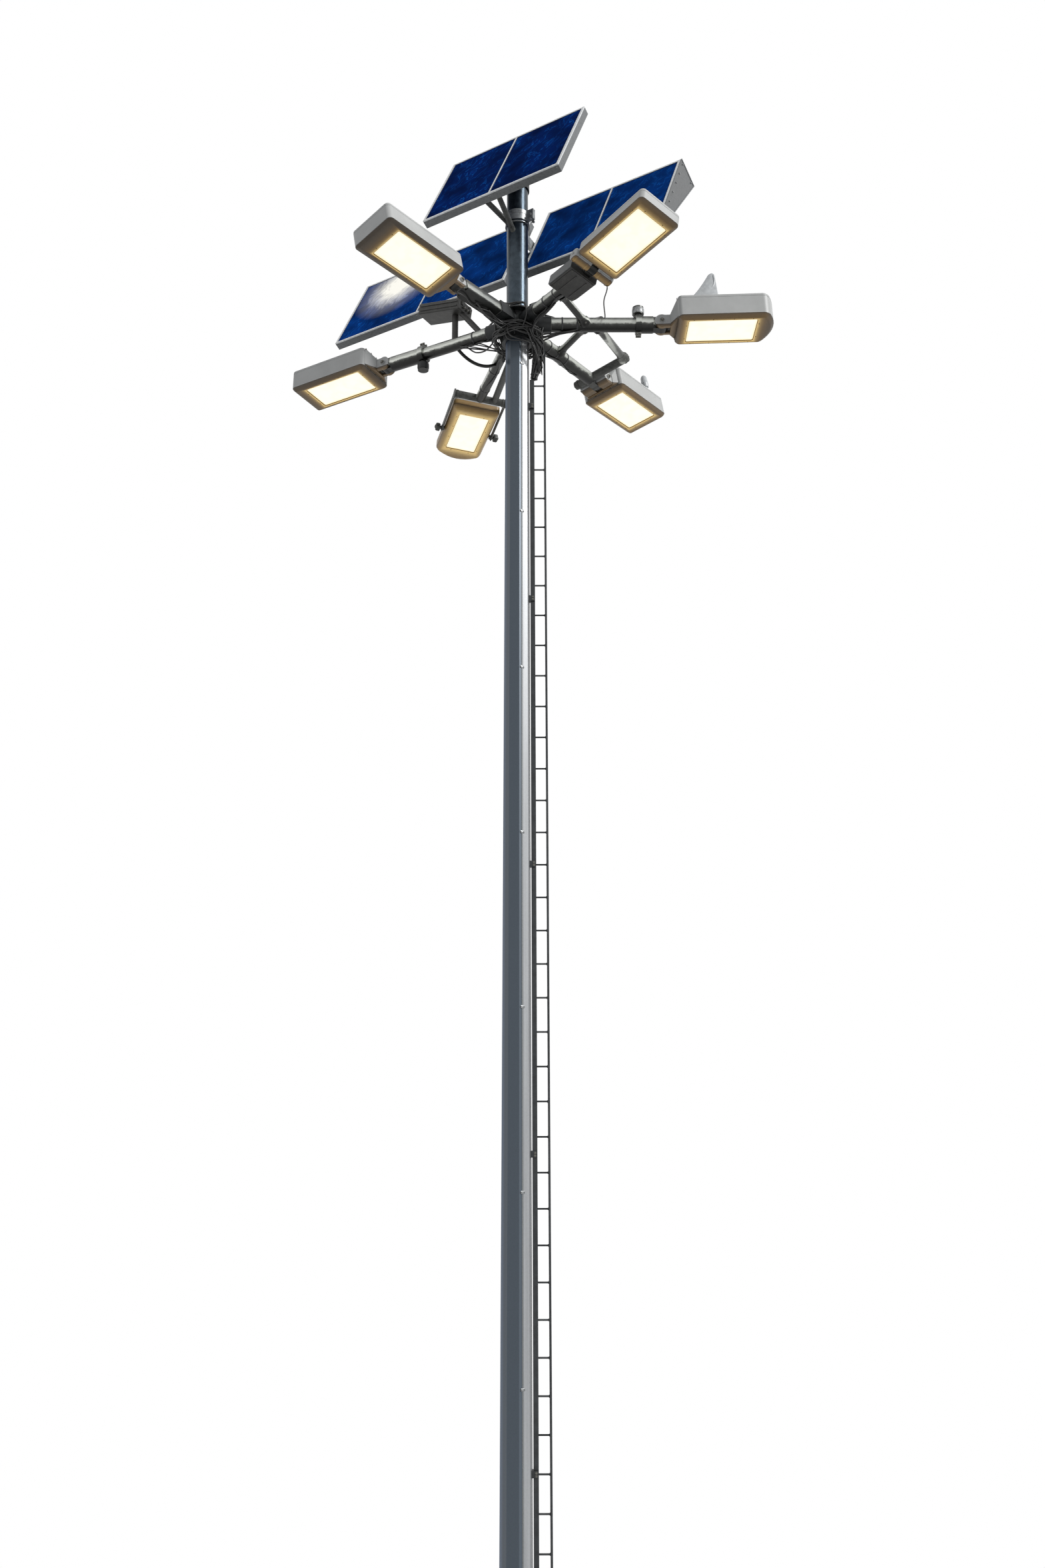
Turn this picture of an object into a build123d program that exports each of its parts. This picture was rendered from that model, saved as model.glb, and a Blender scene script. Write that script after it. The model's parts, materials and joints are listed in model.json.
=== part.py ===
from build123d import *
import os
from collections import namedtuple
from math import atan, cos, degrees, radians, sin

# High mast floodlight tower: a tapered octagonal steel mast on a bolted flange, six
# floodlight heads on radial arms round one hub, a two-module solar array at the top and
# two more below and behind it, and a narrow climbing ladder on the side at +X.
# Millimetres, +Z up, origin at the centre of the flange's underside.

# ---------------------------------------------------------------- driving dimensions
HUB_Z = 15000.0            # height of the arm centrelines
UP = Vector(0, 0, 1)

# Mast
MAST_R_TOP = 117.0         # corner radius of the octagon at hub height
MAST_TAPER = 2.0 / 1000    # growth of that radius for each mm down
MAST_TURN = 10.0           # azimuth of one corner of the octagon
MAST_WALL = 6.0
MAST_TOP = HUB_Z - 60
SHAFT_BOTTOM = 3150.0      # the shaft slips over the lower section from here up
LOWER_TOP = 3600.0
FLAT = cos(radians(22.5))  # middle of a flat against a corner of the octagon
PAST = 1.0                 # a cut runs this far past the face that it opens

# Round tube that carries the arrays above the hub
TUBE_R = 108.0
TUBE_WALL = 6.0
TUBE_TOP = 1640.0          # above the hub
TUBE_CAP = 14.0
TUBE_FOOT = 12.0

# Base flange
PLATE_R = 290.0
PLATE_T = 30.0
BOLT_PCD = 440.0
BOLT_HOLE_R = 17.0
BOLT_COUNT = 8
GUSSET_H = 160.0
GUSSET_T = 12.0
GUSSET_REACH = 262.0
GUSSET_TOE = 25.0

# Handhole, on the flat that faces away from the ladder
DOOR_AZ = MAST_TURN + 22.5 - 135
DOOR_Z = 900.0
DOOR_W = 84.0
DOOR_H = 400.0
DOOR_T = 5.0
DOOR_LIP = 7.0
DOOR_PLUG = 5.0            # how far the plug behind the cover reaches into the handhole
DOOR_PLAY = 1.0

# Hub
SLEEVE_R = 140.0
SLEEVE_BORE = 119.0
SLEEVE_LOW = -215.0
SLEEVE_HIGH = 92.0
RING_R = 212.0
RING_T = 14.0
RING_GAP = 78.0            # from the arm centrelines to the inner face of each ring
SOCKET_WALL = 13.0
SOCKET_END = 335.0
SOCKET_ROOT = 60.0         # the sockets start inside the sleeve
LIP_H = 26.0               # thicker rim at the sleeve's lower end
LIP_T = 14.0
ARM_START = 200.0

# Knuckles
TONGUE_HALF = 40.0         # half width of the lug that a head's two ears straddle
KNUCKLE_RADII = {1: 66.0, 2: 58.0, 3: 72.0, 4: 66.0, 6: 70.0}
KNUCKLE_GAP = 14.0          # from a knuckle to the end of the arm or sleeve behind it
LUG_SHOULDER = 12.0         # the lug's shank is lower than its round end by this
BOSS_R = 24.0
BOSS_T = 16.0
PIN_R = 14.0
PIN_GAP = 0.06
EAR_GAP = 0.4
EARS = {1: 32.0, 3: 32.0, 4: 122.0, 6: 32.0}
CAP_GAP = 12.0              # from a knuckle to the cover of its head
CAP_LIP = 8.0
CAP_CORNER = 22.0

# Floodlight heads
HEAD_LOW = -95.0           # underside of every casting, from the head's own origin
HEAD_CORNER = 44.0
HEAD_WALL = 4.0
TOP_ROUND = 16.0
BEVEL_W = 40.0             # the underside slopes up over this width to the rim
LENS_MID = 595.0
LENS_LEN = 690.0
LENS_W = 346.0
LENS_CORNER = 20.0
LENS_T = 8.0
LENS_RECESS = 13.0
BEZEL_T = 22.0
BEZEL_W = 12.0

# Each head: azimuth of its arm, distance of its origin from the mast's axis, tilt up at
# the outer end, roll about the arm, and the pivot's place along and above its origin.
Head = namedtuple("Head", "azimuth reach tilt roll pivot_x pivot_z")
HEADS = {
    1: Head(-130.0, 904.0, 2.0, 14.0, 0.0, 0.0),
    2: Head(-54.5, 1120.0, 5.0, -15.0, 92.0, -30.0),
    3: Head(0.0, 1445.0, 2.0, -4.0, 0.0, 0.0),
    4: Head(53.5, 1422.0, 2.0, -10.0, 0.0, 0.0),
    5: Head(106.0, 1500.0, -6.0, 4.0, 620.0, -55.0),
    6: Head(150.5, 1592.0, -2.0, 4.0, 0.0, 0.0),
}
ARM_RADII = {2: 60.0, 3: 71.0, 4: 70.0, 5: 55.0, 6: 64.0}
ARM_WALL = 5.0

# Each head's casting: its inner and outer end along x, its half width, the height of its rim
# and of its top, and how far its outer end bows out.
Casting = namedtuple("Casting", "inner outer half rim top bow")
CASTINGS = {
    1: Casting(140.0, 1115.0, 238.0, -82.0, 105.0, 0.0),
    2: Casting(160.0, 1045.0, 230.0, -70.0, 52.0, 0.0),
    3: Casting(150.0, 1035.0, 235.0, -56.0, 180.0, 85.0),
    4: Casting(130.0, 1070.0, 250.0, -60.0, 155.0, 0.0),
    5: Casting(130.0, 1060.0, 266.0, -42.0, 60.0, 95.0),
    6: Casting(145.0, 1090.0, 240.0, -60.0, 155.0, 0.0),
}

# Fin on head 3 and light sensor on head 4
FIN_FOOT = (190.0, 590.0)
FIN_TIP = 528.0
FIN_CREST = 40.0
FIN_H = 350.0
FIN_T = 18.0
FIN_Y = -80.0
FIN_WAIST = (0.48, 0.39)   # the back edge passes here, of the run from its foot to the tip
FIN_CROWN = (4.0, 6.0)     # the crest stands this far off the line from tip to shoulder
SENSOR_X = 830.0
SENSOR_Y = -185.0
SENSOR_STEM = 55.0
SENSOR_H = 220.0
SENSOR_R = 40.0

# Arm 1 is a square-cornered box section
BOX_ARM_W = 150.0
BOX_ARM_H = 116.0
BOX_ARM_WALL = 6.0
ARM_END_T = 10.0           # plate that closes the end of an arm

# Arm 2 ends in a control gear box with a side plate, and a barrel hinge
GEAR_NEAR = 12.0
GEAR_FAR = -335.0
GEAR_W = 300.0
GEAR_OFF = -22.0
GEAR_LOW = -92.0
GEAR_H = 116.0
GEAR_WALL = 3.0
GEAR_SPLAY = 13.0          # one side of the box widens towards the head by this angle
GEAR_TRIM = 15.0           # and is drawn in by this at the hub's end
SIDE_PLATE_T = 9.0
ARM_2_SHORT = 22.0
BARREL_R = 60.0
BARREL_HALF = 222.0

# Arms 3 and 6 end in a sleeve that turns round the arm
SLEEVE_STARTS = {3: 1195.0, 6: 1110.0}
SLEEVE_RADII = {3: 84.0, 6: 77.0}
SWIVEL_GAP = 0.4
SWIVEL_SHORT = 72.0        # the arm stops this far behind its knuckle
SLEEVE_FLOOR = 30.0
COLLAR_START = -10.0       # from the sleeve's inner end
COLLAR_LEN = 56.0
COLLAR_RISE = 13.0
KNOB_R = 56.0
KNOB_H = 80.0
KNOB_NECK = 12.0
KNOB_WAIST = 0.62          # of the knob's own radius
KNOB_SIDES = {3: 1, 6: -1}

# Arm 4 ends in a crossbar
CROSSBAR_X = -125.0
CROSSBAR_R = 45.0
CROSSBAR_ENDS = (-490.0, 170.0)
CROSSBAR_BITE = 3.0        # the lug is let into the bar by this

# Arm 5 ends in a yoke
YOKE_R = 40.0
YOKE_X = 20.0
YOKE_SIDE = CASTINGS[5].half + 18
YOKE_T = 12.0
YOKE_W = 60.0
YOKE_BOSS = 38.0
YOKE_STRUT_AZ = 83.0
YOKE_STRUT_R = 36.0
YOKE_STRUT_END = -165.0    # along the yoke's crossbar
YOKE_STRUT_FOOT = 50.0
YOKE_ROOT = 14.0           # the sides are this much wider round the crossbar
TRUNNION_R = 26.0
TRUNNION_KNOB = 46.0
TRUNNION_NECK = 20.0
TRUNNION_OUT = 80.0

# Braces between arms: first arm, second arm, reach, radius, sag at the middle
BRACES = ((2, 3, 700.0, 36.0, 0.0), (3, 4, 700.0, 36.0, 0.0), (5, 6, 740.0, 17.0, 120.0))
LONG_BRACE_R = 40.0
LONG_BRACE_REACH = 790.0
LONG_BRACE_END = -450.0    # along the crossbar

# Gear box over arm 6
PACK_LEN = 510.0
PACK_W = 250.0
PACK_H = 115.0
PACK_REACH = 865.0
PACK_Z = 415.0
PACK_LEAN = 9.5
PACK_CORNER = 14.0
PACK_LEGS = ((740.0, 740.0, 50.0, 32.0), (400.0, 660.0, 80.0, 30.0))  # foot, top, drop, radius

# Solar arrays
ARRAY_W = 1134.0           # length up the slope
ARRAY_AZ = -32.8           # azimuth of the long edge
ARRAY_TILT = 62.4
FRAME_D = 84.0
FRAME_FACE = 25.0
DIVIDER = 18.0
GLASS_T = 12.0
GLASS_SET = 4.0
UPPER_BACK = -250.0        # distance behind the mast's axis of each array's centre
UPPER_Z = 1691.0
LOWER_BACK = 380.0
LOWER_Z = 1174.0
UPPER_SPAN = (-822.0, 795.0)
LEFT_SPAN = (-2512.0, -250.0)
RIGHT_SPAN = (-20.0, 1545.0)
END_PLATE_T = 12.0
END_PLATE_D = 310.0
BEAM_R = 45.0
BEAM_WALL = 5.0
BEAM_SHORT = 120.0         # the beam stops this far inside each end
BEAM_DROP = -FRAME_D - BEAM_R
RAIL = 60.0
CLAMP_Z = HUB_Z + 1187
CLAMP_H = 110.0
CLAMP_ARM = -70.0          # along the arrays, between their two ends
CLAMP_WALL = 14.0
CLAMP_ARM_T = 40.0
CLAMP_LUG = 110.0
UPPER_COLLAR_Z = HUB_Z + TUBE_TOP - 75
UPPER_COLLAR_H = 90.0
RAIL_LEN = 1300.0
BRACKET_W = 150.0
BRACKET_T = 56.0
STRUT_R = 27.0
STRUT_Z = HUB_Z + 960
STRUT_STEP = 95.0
STRUT_PLACES = (60.0, -80.0)

# Ladder
LADDER_TOP = 14385.0
LADDER_LOW = 480.0
OUTER_TOP = 14730.0
RUNG_PITCH = 300.0
RUNG_R = 8.0
STILE_GAP = 125.0
CHANNEL_W = 44.0
CHANNEL_D = 34.0
CHANNEL_WALL = 4.0
CHANNEL_OFF = 7.0
OUTER_W = 20.0
OUTER_D = 30.0
TOP_RUNG = 60.0            # below the channel's top
LOW_RUNG = 20.0            # above its lower end, at least
CLIP_WRAP = 13.0
CLIP_H = 56.0
CLIP_ROOT = 12.0           # a clip runs this far back, to be cut to the mast
CLIP_PLAY = 0.3

# Tied bundle of supply cables
CABLES_R = 38.0
CABLES_BEND = 240.0
CABLES_ROUTE = ((205, -40, -94), (205, -36, -260), (188, -26, -430), (165, 0, -600))
BRACKETS = (700.0, 2200.0, 4430.0, 6980.0, 9530.0, 12090.0, 14100.0)


# ---------------------------------------------------------------- helpers
os.makedirs("parts", exist_ok=True)


def save(node, *solids):
    """Write one node as one STEP file."""
    shape = solids[0] if len(solids) == 1 else Compound(children=list(solids))
    shape.label = node
    export_step(shape, "parts/" + node + ".step")


def rod(start, end, radius, bore=0.0):
    """Round bar or tube from one point to another."""
    run = end - start
    section = Circle(radius)
    if bore:
        section -= Circle(bore)
    return extrude(Plane(origin=start, z_dir=run) * section, run.length)


def box_bar(start, end, width, thickness, side):
    """Square-cornered bar from one point to another, with its width along side."""
    run = end - start
    return extrude(Plane(origin=start, x_dir=side, z_dir=run) * Rectangle(width, thickness), run.length)


def octagon_bar(low, low_r, high, high_r):
    """Solid tapered octagonal bar between two heights."""
    bottom = Pos(0, 0, low) * RegularPolygon(low_r, 8, rotation=MAST_TURN)
    top = Pos(0, 0, high) * RegularPolygon(high_r, 8, rotation=MAST_TURN)
    return loft([bottom.face(), top.face()])


def octagon_tube(low, high, inset):
    """Tapered octagonal tube of the mast, its corners set in from the mast's outside."""
    outer = octagon_bar(low, mast_radius(low) - inset, high, mast_radius(high) - inset)
    inset += MAST_WALL / FLAT
    return outer - octagon_bar(low, mast_radius(low) - inset, high, mast_radius(high) - inset)


def hollowed(block, wall):
    """Block as a closed sheet-metal shell of one wall thickness."""
    return block - offset(block, -wall)


def mast_radius(height):
    """Corner radius of the mast at a height above the ground."""
    return MAST_R_TOP + MAST_TAPER * (HUB_Z - height)


def mast_edge(height):
    """Distance of the mast's corner from its axis, measured along +X."""
    return mast_radius(height) * cos(radians(MAST_TURN))


def polar(azimuth, reach, height=0.0):
    """Point at an azimuth and distance from the mast's axis, height counted from the hub."""
    angle = radians(azimuth)
    return Vector(reach * cos(angle), reach * sin(angle), HUB_Z + height)


def arm_plane(number):
    """Plane at a head's origin: x out along the arm, y along the pivot, before the tilt."""
    head = HEADS[number]
    out = polar(head.azimuth, 1) - polar(0, 0)
    side = UP.cross(out)
    up = UP * cos(radians(head.roll)) - side * sin(radians(head.roll))
    return Plane(origin=polar(head.azimuth, head.reach), x_dir=out, z_dir=up)


def head_plane(number):
    """Plane of the head itself."""
    return Plane(arm_plane(number).location * Rot(0, -HEADS[number].tilt, 0))


def arm_line(number, start, end, radius, bore=0.0):
    """Round bar along an arm's centreline between two reaches."""
    azimuth = HEADS[number].azimuth
    return rod(polar(azimuth, start), polar(azimuth, end), radius, bore)


def cross_rod(x, start, end, radius, z=0.0):
    """Round bar along a head's local y."""
    return rod(Vector(x, start, z), Vector(x, end, z), radius)


# ---------------------------------------------------------------- mast
def build_base():
    plate = extrude(Circle(PLATE_R), PLATE_T)
    hole = Cylinder(BOLT_HOLE_R, PLATE_T, align=(Align.CENTER, Align.CENTER, Align.MIN))
    plate -= PolarLocations(BOLT_PCD / 2, BOLT_COUNT, MAST_TURN) * hole
    foot_r = mast_radius(0) * FLAT - MAST_WALL
    outline = Polyline((foot_r, PLATE_T), (GUSSET_REACH, PLATE_T), (GUSSET_REACH, PLATE_T + GUSSET_TOE),
                       (foot_r + GUSSET_TOE, PLATE_T + GUSSET_H), (foot_r, PLATE_T + GUSSET_H), close=True)
    gusset = extrude(Plane.XZ * make_face(outline), GUSSET_T / 2, both=True)
    for index in range(BOLT_COUNT):
        plate += Rot(0, 0, MAST_TURN + 22.5 + 45 * index) * gusset
    return plate


def build_lower():
    tube = octagon_tube(PLATE_T, LOWER_TOP, MAST_WALL / FLAT)
    cutter = Pos(mast_radius(DOOR_Z), 0, DOOR_Z) * Box(8 * MAST_WALL, DOOR_W, DOOR_H)
    return tube - Rot(0, 0, DOOR_AZ) * cutter


def build_door():
    """Cover plate on the flat, with a plug that fills the handhole."""
    face_r = mast_radius(DOOR_Z) * FLAT - MAST_WALL
    low_corner = (Align.MIN, Align.CENTER, Align.CENTER)
    cover = Box(DOOR_T, DOOR_W + 2 * DOOR_LIP, DOOR_H + 2 * DOOR_LIP, align=low_corner)
    plug = Pos(-DOOR_PLUG, 0, 0) * Box(
        DOOR_PLUG, DOOR_W - 2 * DOOR_PLAY, DOOR_H - 2 * DOOR_PLAY, align=low_corner)
    lean = degrees(atan(MAST_TAPER * FLAT))
    return Rot(0, 0, DOOR_AZ) * Pos(face_r, 0, DOOR_Z) * Rot(0, -lean, 0) * (cover + plug)


def build_shaft():
    return octagon_tube(SHAFT_BOTTOM, MAST_TOP, 0)


def build_tube():
    """Round tube above the hub, with its foot plate and its closed top."""
    tube = rod(Vector(0, 0, MAST_TOP), Vector(0, 0, HUB_Z + TUBE_TOP), TUBE_R, TUBE_R - TUBE_WALL)
    low_corner = (Align.CENTER, Align.CENTER, Align.MIN)
    tube += Pos(0, 0, HUB_Z + TUBE_TOP) * Cylinder(TUBE_R, TUBE_CAP, align=low_corner)
    return tube + Pos(0, 0, MAST_TOP) * Cylinder(SLEEVE_BORE, TUBE_FOOT, align=low_corner)


def build_hub():
    """Sleeve, two rings and the arm sockets between them, as one weldment."""
    middle = Vector(0, 0, HUB_Z)
    body = rod(middle + UP * SLEEVE_LOW, middle + UP * SLEEVE_HIGH, SLEEVE_R)
    body += rod(middle + UP * RING_GAP, middle + UP * (RING_GAP + RING_T), RING_R)
    body += rod(middle - UP * (RING_GAP + RING_T), middle - UP * RING_GAP, RING_R)
    body += rod(middle + UP * SLEEVE_LOW, middle + UP * (SLEEVE_LOW + LIP_H), SLEEVE_R + LIP_T)
    for number, radius in ARM_RADII.items():
        body += arm_line(number, SOCKET_ROOT, SOCKET_END, radius + SOCKET_WALL)
    body += box_arm(0, BOX_ARM_W + 2 * SOCKET_WALL, BOX_ARM_H + 2 * SOCKET_WALL, SOCKET_ROOT, SOCKET_END)
    for number, radius in ARM_RADII.items():
        body -= arm_line(number, ARM_START, SOCKET_END + PAST, radius)
        body -= arm_line(number, SLEEVE_BORE - PAST, SOCKET_END, radius - ARM_WALL)
    body -= box_arm(0, BOX_ARM_W, BOX_ARM_H, ARM_START, SOCKET_END + PAST)
    return body - rod(middle + UP * (SLEEVE_LOW - PAST), middle + UP * RING_R, SLEEVE_BORE)


# ---------------------------------------------------------------- arms
def tongue(number, back):
    """Lug round a head's pivot, running back to a local x."""
    head = HEADS[number]
    pivot = head_plane(number).from_local_coords(Vector(head.pivot_x, 0, head.pivot_z))
    pivot = arm_plane(number).to_local_coords(pivot)
    radius = KNUCKLE_RADII[number]
    lug = cross_rod(pivot.X, -TONGUE_HALF, TONGUE_HALF, radius, pivot.Z)
    lug += Pos((back + pivot.X) / 2, 0, pivot.Z / 2) * Box(
        pivot.X - back, 2 * TONGUE_HALF, 2 * radius - LUG_SHOULDER)
    lug -= cross_rod(pivot.X, -TONGUE_HALF, TONGUE_HALF, PIN_R + PIN_GAP, pivot.Z)
    return lug


def box_arm(wall, width, height, start, end):
    """Rectangular bar along arm 1, rolled with its head."""
    plane = arm_plane(1)
    reach = HEADS[1].reach
    middle = (start + end) / 2 - reach
    bar = Box(end - start, width, height)
    if wall:
        bar -= Box(end - start, width - 2 * wall, height - 2 * wall)
    return plane.location * (Pos(middle, 0, 0) * bar)


def build_arm_1():
    reach = HEADS[1].reach
    end = reach - KNUCKLE_RADII[1] - KNUCKLE_GAP
    arm = box_arm(BOX_ARM_WALL, BOX_ARM_W, BOX_ARM_H, ARM_START, end)
    arm += box_arm(0, BOX_ARM_W, BOX_ARM_H, end - ARM_END_T, end)
    return arm + arm_plane(1).location * tongue(1, end - reach)


def build_arm_2():
    reach = HEADS[2].reach
    end = reach - ARM_2_SHORT
    arm = arm_line(2, ARM_START, end, ARM_RADII[2], ARM_RADII[2] - ARM_WALL)
    arm += arm_line(2, end - ARM_END_T, end, ARM_RADII[2])
    return arm + arm_plane(2).location * tongue(2, -ARM_2_SHORT)


def build_side_plate():
    """Pale plate along the side of arm 2's gear box."""
    y = GEAR_OFF - GEAR_W / 2 - SIDE_PLATE_T / 2
    plate = Pos((GEAR_NEAR + GEAR_FAR) / 2, y, GEAR_LOW + GEAR_H / 2) * Box(
        GEAR_NEAR - GEAR_FAR, SIDE_PLATE_T, GEAR_H - SIDE_PLATE_T)
    return arm_plane(2).location * plate


def build_gear_right():
    """Tapered gear box round the end of arm 2."""
    plane = Plane(origin=(GEAR_FAR, GEAR_OFF, GEAR_LOW + GEAR_H / 2), x_dir=(0, 1, 0), z_dir=(1, 0, 0))
    box = extrude(plane * RectangleRounded(GEAR_W, GEAR_H, PACK_CORNER), GEAR_NEAR - GEAR_FAR)
    side = Rot(0, 0, GEAR_SPLAY) * Box(4 * GEAR_W, GEAR_W, 4 * GEAR_H)
    box -= Pos(GEAR_FAR, GEAR_OFF + GEAR_W - GEAR_TRIM, 0) * side
    box = hollowed(box, GEAR_WALL) - tongue(2, -ARM_2_SHORT)
    reach = HEADS[2].reach
    return arm_plane(2).location * box - arm_line(2, reach + 2 * GEAR_FAR, reach, ARM_RADII[2])


def build_round_arm(number):
    """Plain tube to a swivel sleeve, a crossbar or a yoke."""
    reach = HEADS[number].reach
    if number in SLEEVE_STARTS:
        end = reach - KNUCKLE_RADII[number] - SWIVEL_SHORT
    else:
        end = reach + {4: CROSSBAR_X, 5: YOKE_X}[number]
    arm = arm_line(number, ARM_START, end, ARM_RADII[number], ARM_RADII[number] - ARM_WALL)
    if number == 4:
        arm -= crossbar_rod()
    if number == 5:
        arm -= yoke_rod()
    return arm


def build_sleeve(number):
    """Sleeve that turns round its arm, with a clamp collar, a hand knob and the tongue."""
    reach = HEADS[number].reach
    start = SLEEVE_STARTS[number]
    end = reach - KNUCKLE_RADII[number] - KNUCKLE_GAP
    radius = SLEEVE_RADII[number]
    collar = start + COLLAR_START
    sleeve = arm_line(number, start, end, radius)
    sleeve += arm_line(number, collar, collar + COLLAR_LEN, radius + COLLAR_RISE)
    foot = polar(HEADS[number].azimuth, collar + COLLAR_LEN / 2)
    rise = UP * KNOB_SIDES[number]
    knob = radius + COLLAR_RISE + KNOB_NECK
    sleeve += rod(foot + rise * (radius - PAST), foot + rise * knob, KNOB_R * KNOB_WAIST)
    sleeve += rod(foot + rise * knob, foot + rise * (knob + KNOB_H), KNOB_R)
    sleeve -= arm_line(number, collar - PAST, end - SLEEVE_FLOOR, ARM_RADII[number] + SWIVEL_GAP)
    return sleeve + arm_plane(number).location * tongue(number, end - reach)


def crossbar_rod():
    """Bar across the end of arm 4."""
    return arm_plane(4).location * cross_rod(CROSSBAR_X, CROSSBAR_ENDS[0], CROSSBAR_ENDS[1], CROSSBAR_R)


def build_crossbar():
    bite = CROSSBAR_R - CROSSBAR_BITE
    lug = tongue(4, CROSSBAR_X) - cross_rod(CROSSBAR_X, -TONGUE_HALF, TONGUE_HALF, bite)
    return hollowed(crossbar_rod(), ARM_WALL) + arm_plane(4).location * lug


def yoke_rod():
    """Crossbar of arm 5's yoke."""
    half = YOKE_SIDE + YOKE_T
    return head_plane(5).location * cross_rod(YOKE_X, -half, half, YOKE_R)


def build_yoke_strut():
    """Second bar of the yoke-mounted head, from between the hub's rings to the crossbar."""
    start = polar(YOKE_STRUT_AZ, RING_R)
    end = head_plane(5).from_local_coords(Vector(YOKE_X, YOKE_STRUT_END, 0))
    strut = rod(start, end, YOKE_STRUT_R, YOKE_STRUT_R - ARM_WALL)
    foot = Box(YOKE_STRUT_FOOT, YOKE_STRUT_FOOT, 2 * RING_GAP)
    strut += Pos(start) * Rot(0, 0, YOKE_STRUT_AZ) * foot
    strut -= arm_line(5, ARM_START, HEADS[5].reach, ARM_RADII[5])
    for number in (4, 5):
        strut -= arm_line(number, SOCKET_ROOT, SOCKET_END, ARM_RADII[number] + SOCKET_WALL)
    return strut - yoke_rod()


def build_yoke_sides():
    """The two flat sides of the yoke, from the crossbar's ends to the head's pivots."""
    plane = head_plane(5)
    head = HEADS[5]
    sides = []
    for side in (-1, 1):
        inner = side * YOKE_SIDE
        outer = side * (YOKE_SIDE + YOKE_T)
        middle = (inner + outer) / 2
        plate = box_bar(Vector(YOKE_X, middle, 0), Vector(head.pivot_x, middle, head.pivot_z),
                        YOKE_T, YOKE_W, Vector(0, 1, 0))
        plate += cross_rod(head.pivot_x, inner, outer, YOKE_BOSS, head.pivot_z)
        plate += cross_rod(YOKE_X, inner, outer, YOKE_BOSS + YOKE_ROOT)
        plate -= cross_rod(head.pivot_x, inner, outer, PIN_R + PIN_GAP, head.pivot_z)
        sides.append(plane.location * plate - yoke_rod())
    return sides


# ---------------------------------------------------------------- floodlight heads
def casting_outline(number, inset):
    """Outline of a casting seen from below, set in by a distance."""
    body = CASTINGS[number]
    near, far, half = body.inner + inset, body.outer - inset, body.half - inset
    sides = Polyline((far, -half), (near, -half), (near, half), (far, half))
    if body.bow:
        end = ThreePointArc((far, half), (far + body.bow, 0), (far, -half))
    else:
        end = Line((far, half), (far, -half))
    outline = make_face([*sides.edges(), end])
    return fillet(outline.vertices(), HEAD_CORNER - inset)


def casting_block(number, inset):
    """Block of a casting: a sloped edge below, upright sides and a rounded top edge."""
    body = CASTINGS[number]
    low = HEAD_LOW + inset
    block = Pos(0, 0, low) * extrude(casting_outline(number, inset), body.top - inset - low)
    bottom = block.faces().sort_by(Axis.Z)[0]
    block = chamfer(bottom.edges(), BEVEL_W, body.rim - low, reference=bottom)
    return fillet(block.faces().sort_by(Axis.Z)[-1].edges(), TOP_ROUND - inset)


def lens_bar(margin, low, height):
    """Upright bar with the lens's outline, larger by a margin, from a height."""
    outline = RectangleRounded(LENS_LEN + 2 * margin, LENS_W + 2 * margin, LENS_CORNER + margin)
    return Pos(LENS_MID, 0, low) * extrude(outline, height)


def build_housing(number):
    """Thin casting, open below at the lens window, with a collar round the window."""
    shell = casting_block(number, 0) - casting_block(number, HEAD_WALL)
    shell += lens_bar(BEZEL_W, HEAD_LOW, BEZEL_T)
    return head_plane(number).location * (shell - lens_bar(0, HEAD_LOW, BEZEL_T))


def build_lens(number):
    return head_plane(number).location * lens_bar(0, HEAD_LOW + LENS_RECESS, LENS_T)


def cap_section(x, width, low, high):
    """Rounded section of a head's inner end, between two heights."""
    plane = Plane(origin=(x, 0, (low + high) / 2), x_dir=(0, 1, 0), z_dir=(-1, 0, 0))
    return (plane * RectangleRounded(width, high - low, CAP_CORNER)).face()


def build_cap(number):
    """Cast inner end of a head: a tapered cover with two ears and the knuckle pin."""
    body = CASTINGS[number]
    radius = KNUCKLE_RADII[number]
    ear = EARS[number]
    neck = radius + CAP_GAP
    width = 2 * (TONGUE_HALF + EAR_GAP + ear + CAP_LIP)
    root = cap_section(body.inner, 2 * (body.half - HEAD_CORNER), body.rim + CAP_LIP, body.top - CAP_LIP)
    cover = loft([root, cap_section(neck, width, -radius, radius)])
    for side in (-1, 1):
        inner = side * (TONGUE_HALF + EAR_GAP)
        outer = inner + side * ear
        cover += cross_rod(0, inner, outer, radius)
        cover += Pos(neck / 2, (inner + outer) / 2, 0) * Box(neck, ear, 2 * radius - LUG_SHOULDER)
        cover += cross_rod(0, outer, outer + side * BOSS_T, BOSS_R)
    cover += cross_rod(0, -TONGUE_HALF - EAR_GAP, TONGUE_HALF + EAR_GAP, PIN_R)
    return head_plane(number).location * cover


def build_barrel():
    """Full-width barrel hinge at the inner end of head 2, open in the middle for the tongue."""
    head = HEADS[2]
    x, z = head.pivot_x, head.pivot_z
    near = CASTINGS[2].inner
    slot = 2 * (KNUCKLE_RADII[2] + KNUCKLE_GAP)
    barrel = Pos((x + near) / 2, 0, z) * Box(near - x, 2 * BARREL_HALF - 2 * HEAD_CORNER, BARREL_R)
    barrel += cross_rod(x, -BARREL_HALF, BARREL_HALF, BARREL_R, z)
    barrel -= Pos(x, 0, z) * Box(slot, 2 * (TONGUE_HALF + EAR_GAP), 4 * BARREL_R)
    barrel += cross_rod(x, -TONGUE_HALF - EAR_GAP, TONGUE_HALF + EAR_GAP, PIN_R, z)
    return head_plane(2).location * (barrel - casting_block(2, 0))


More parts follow.
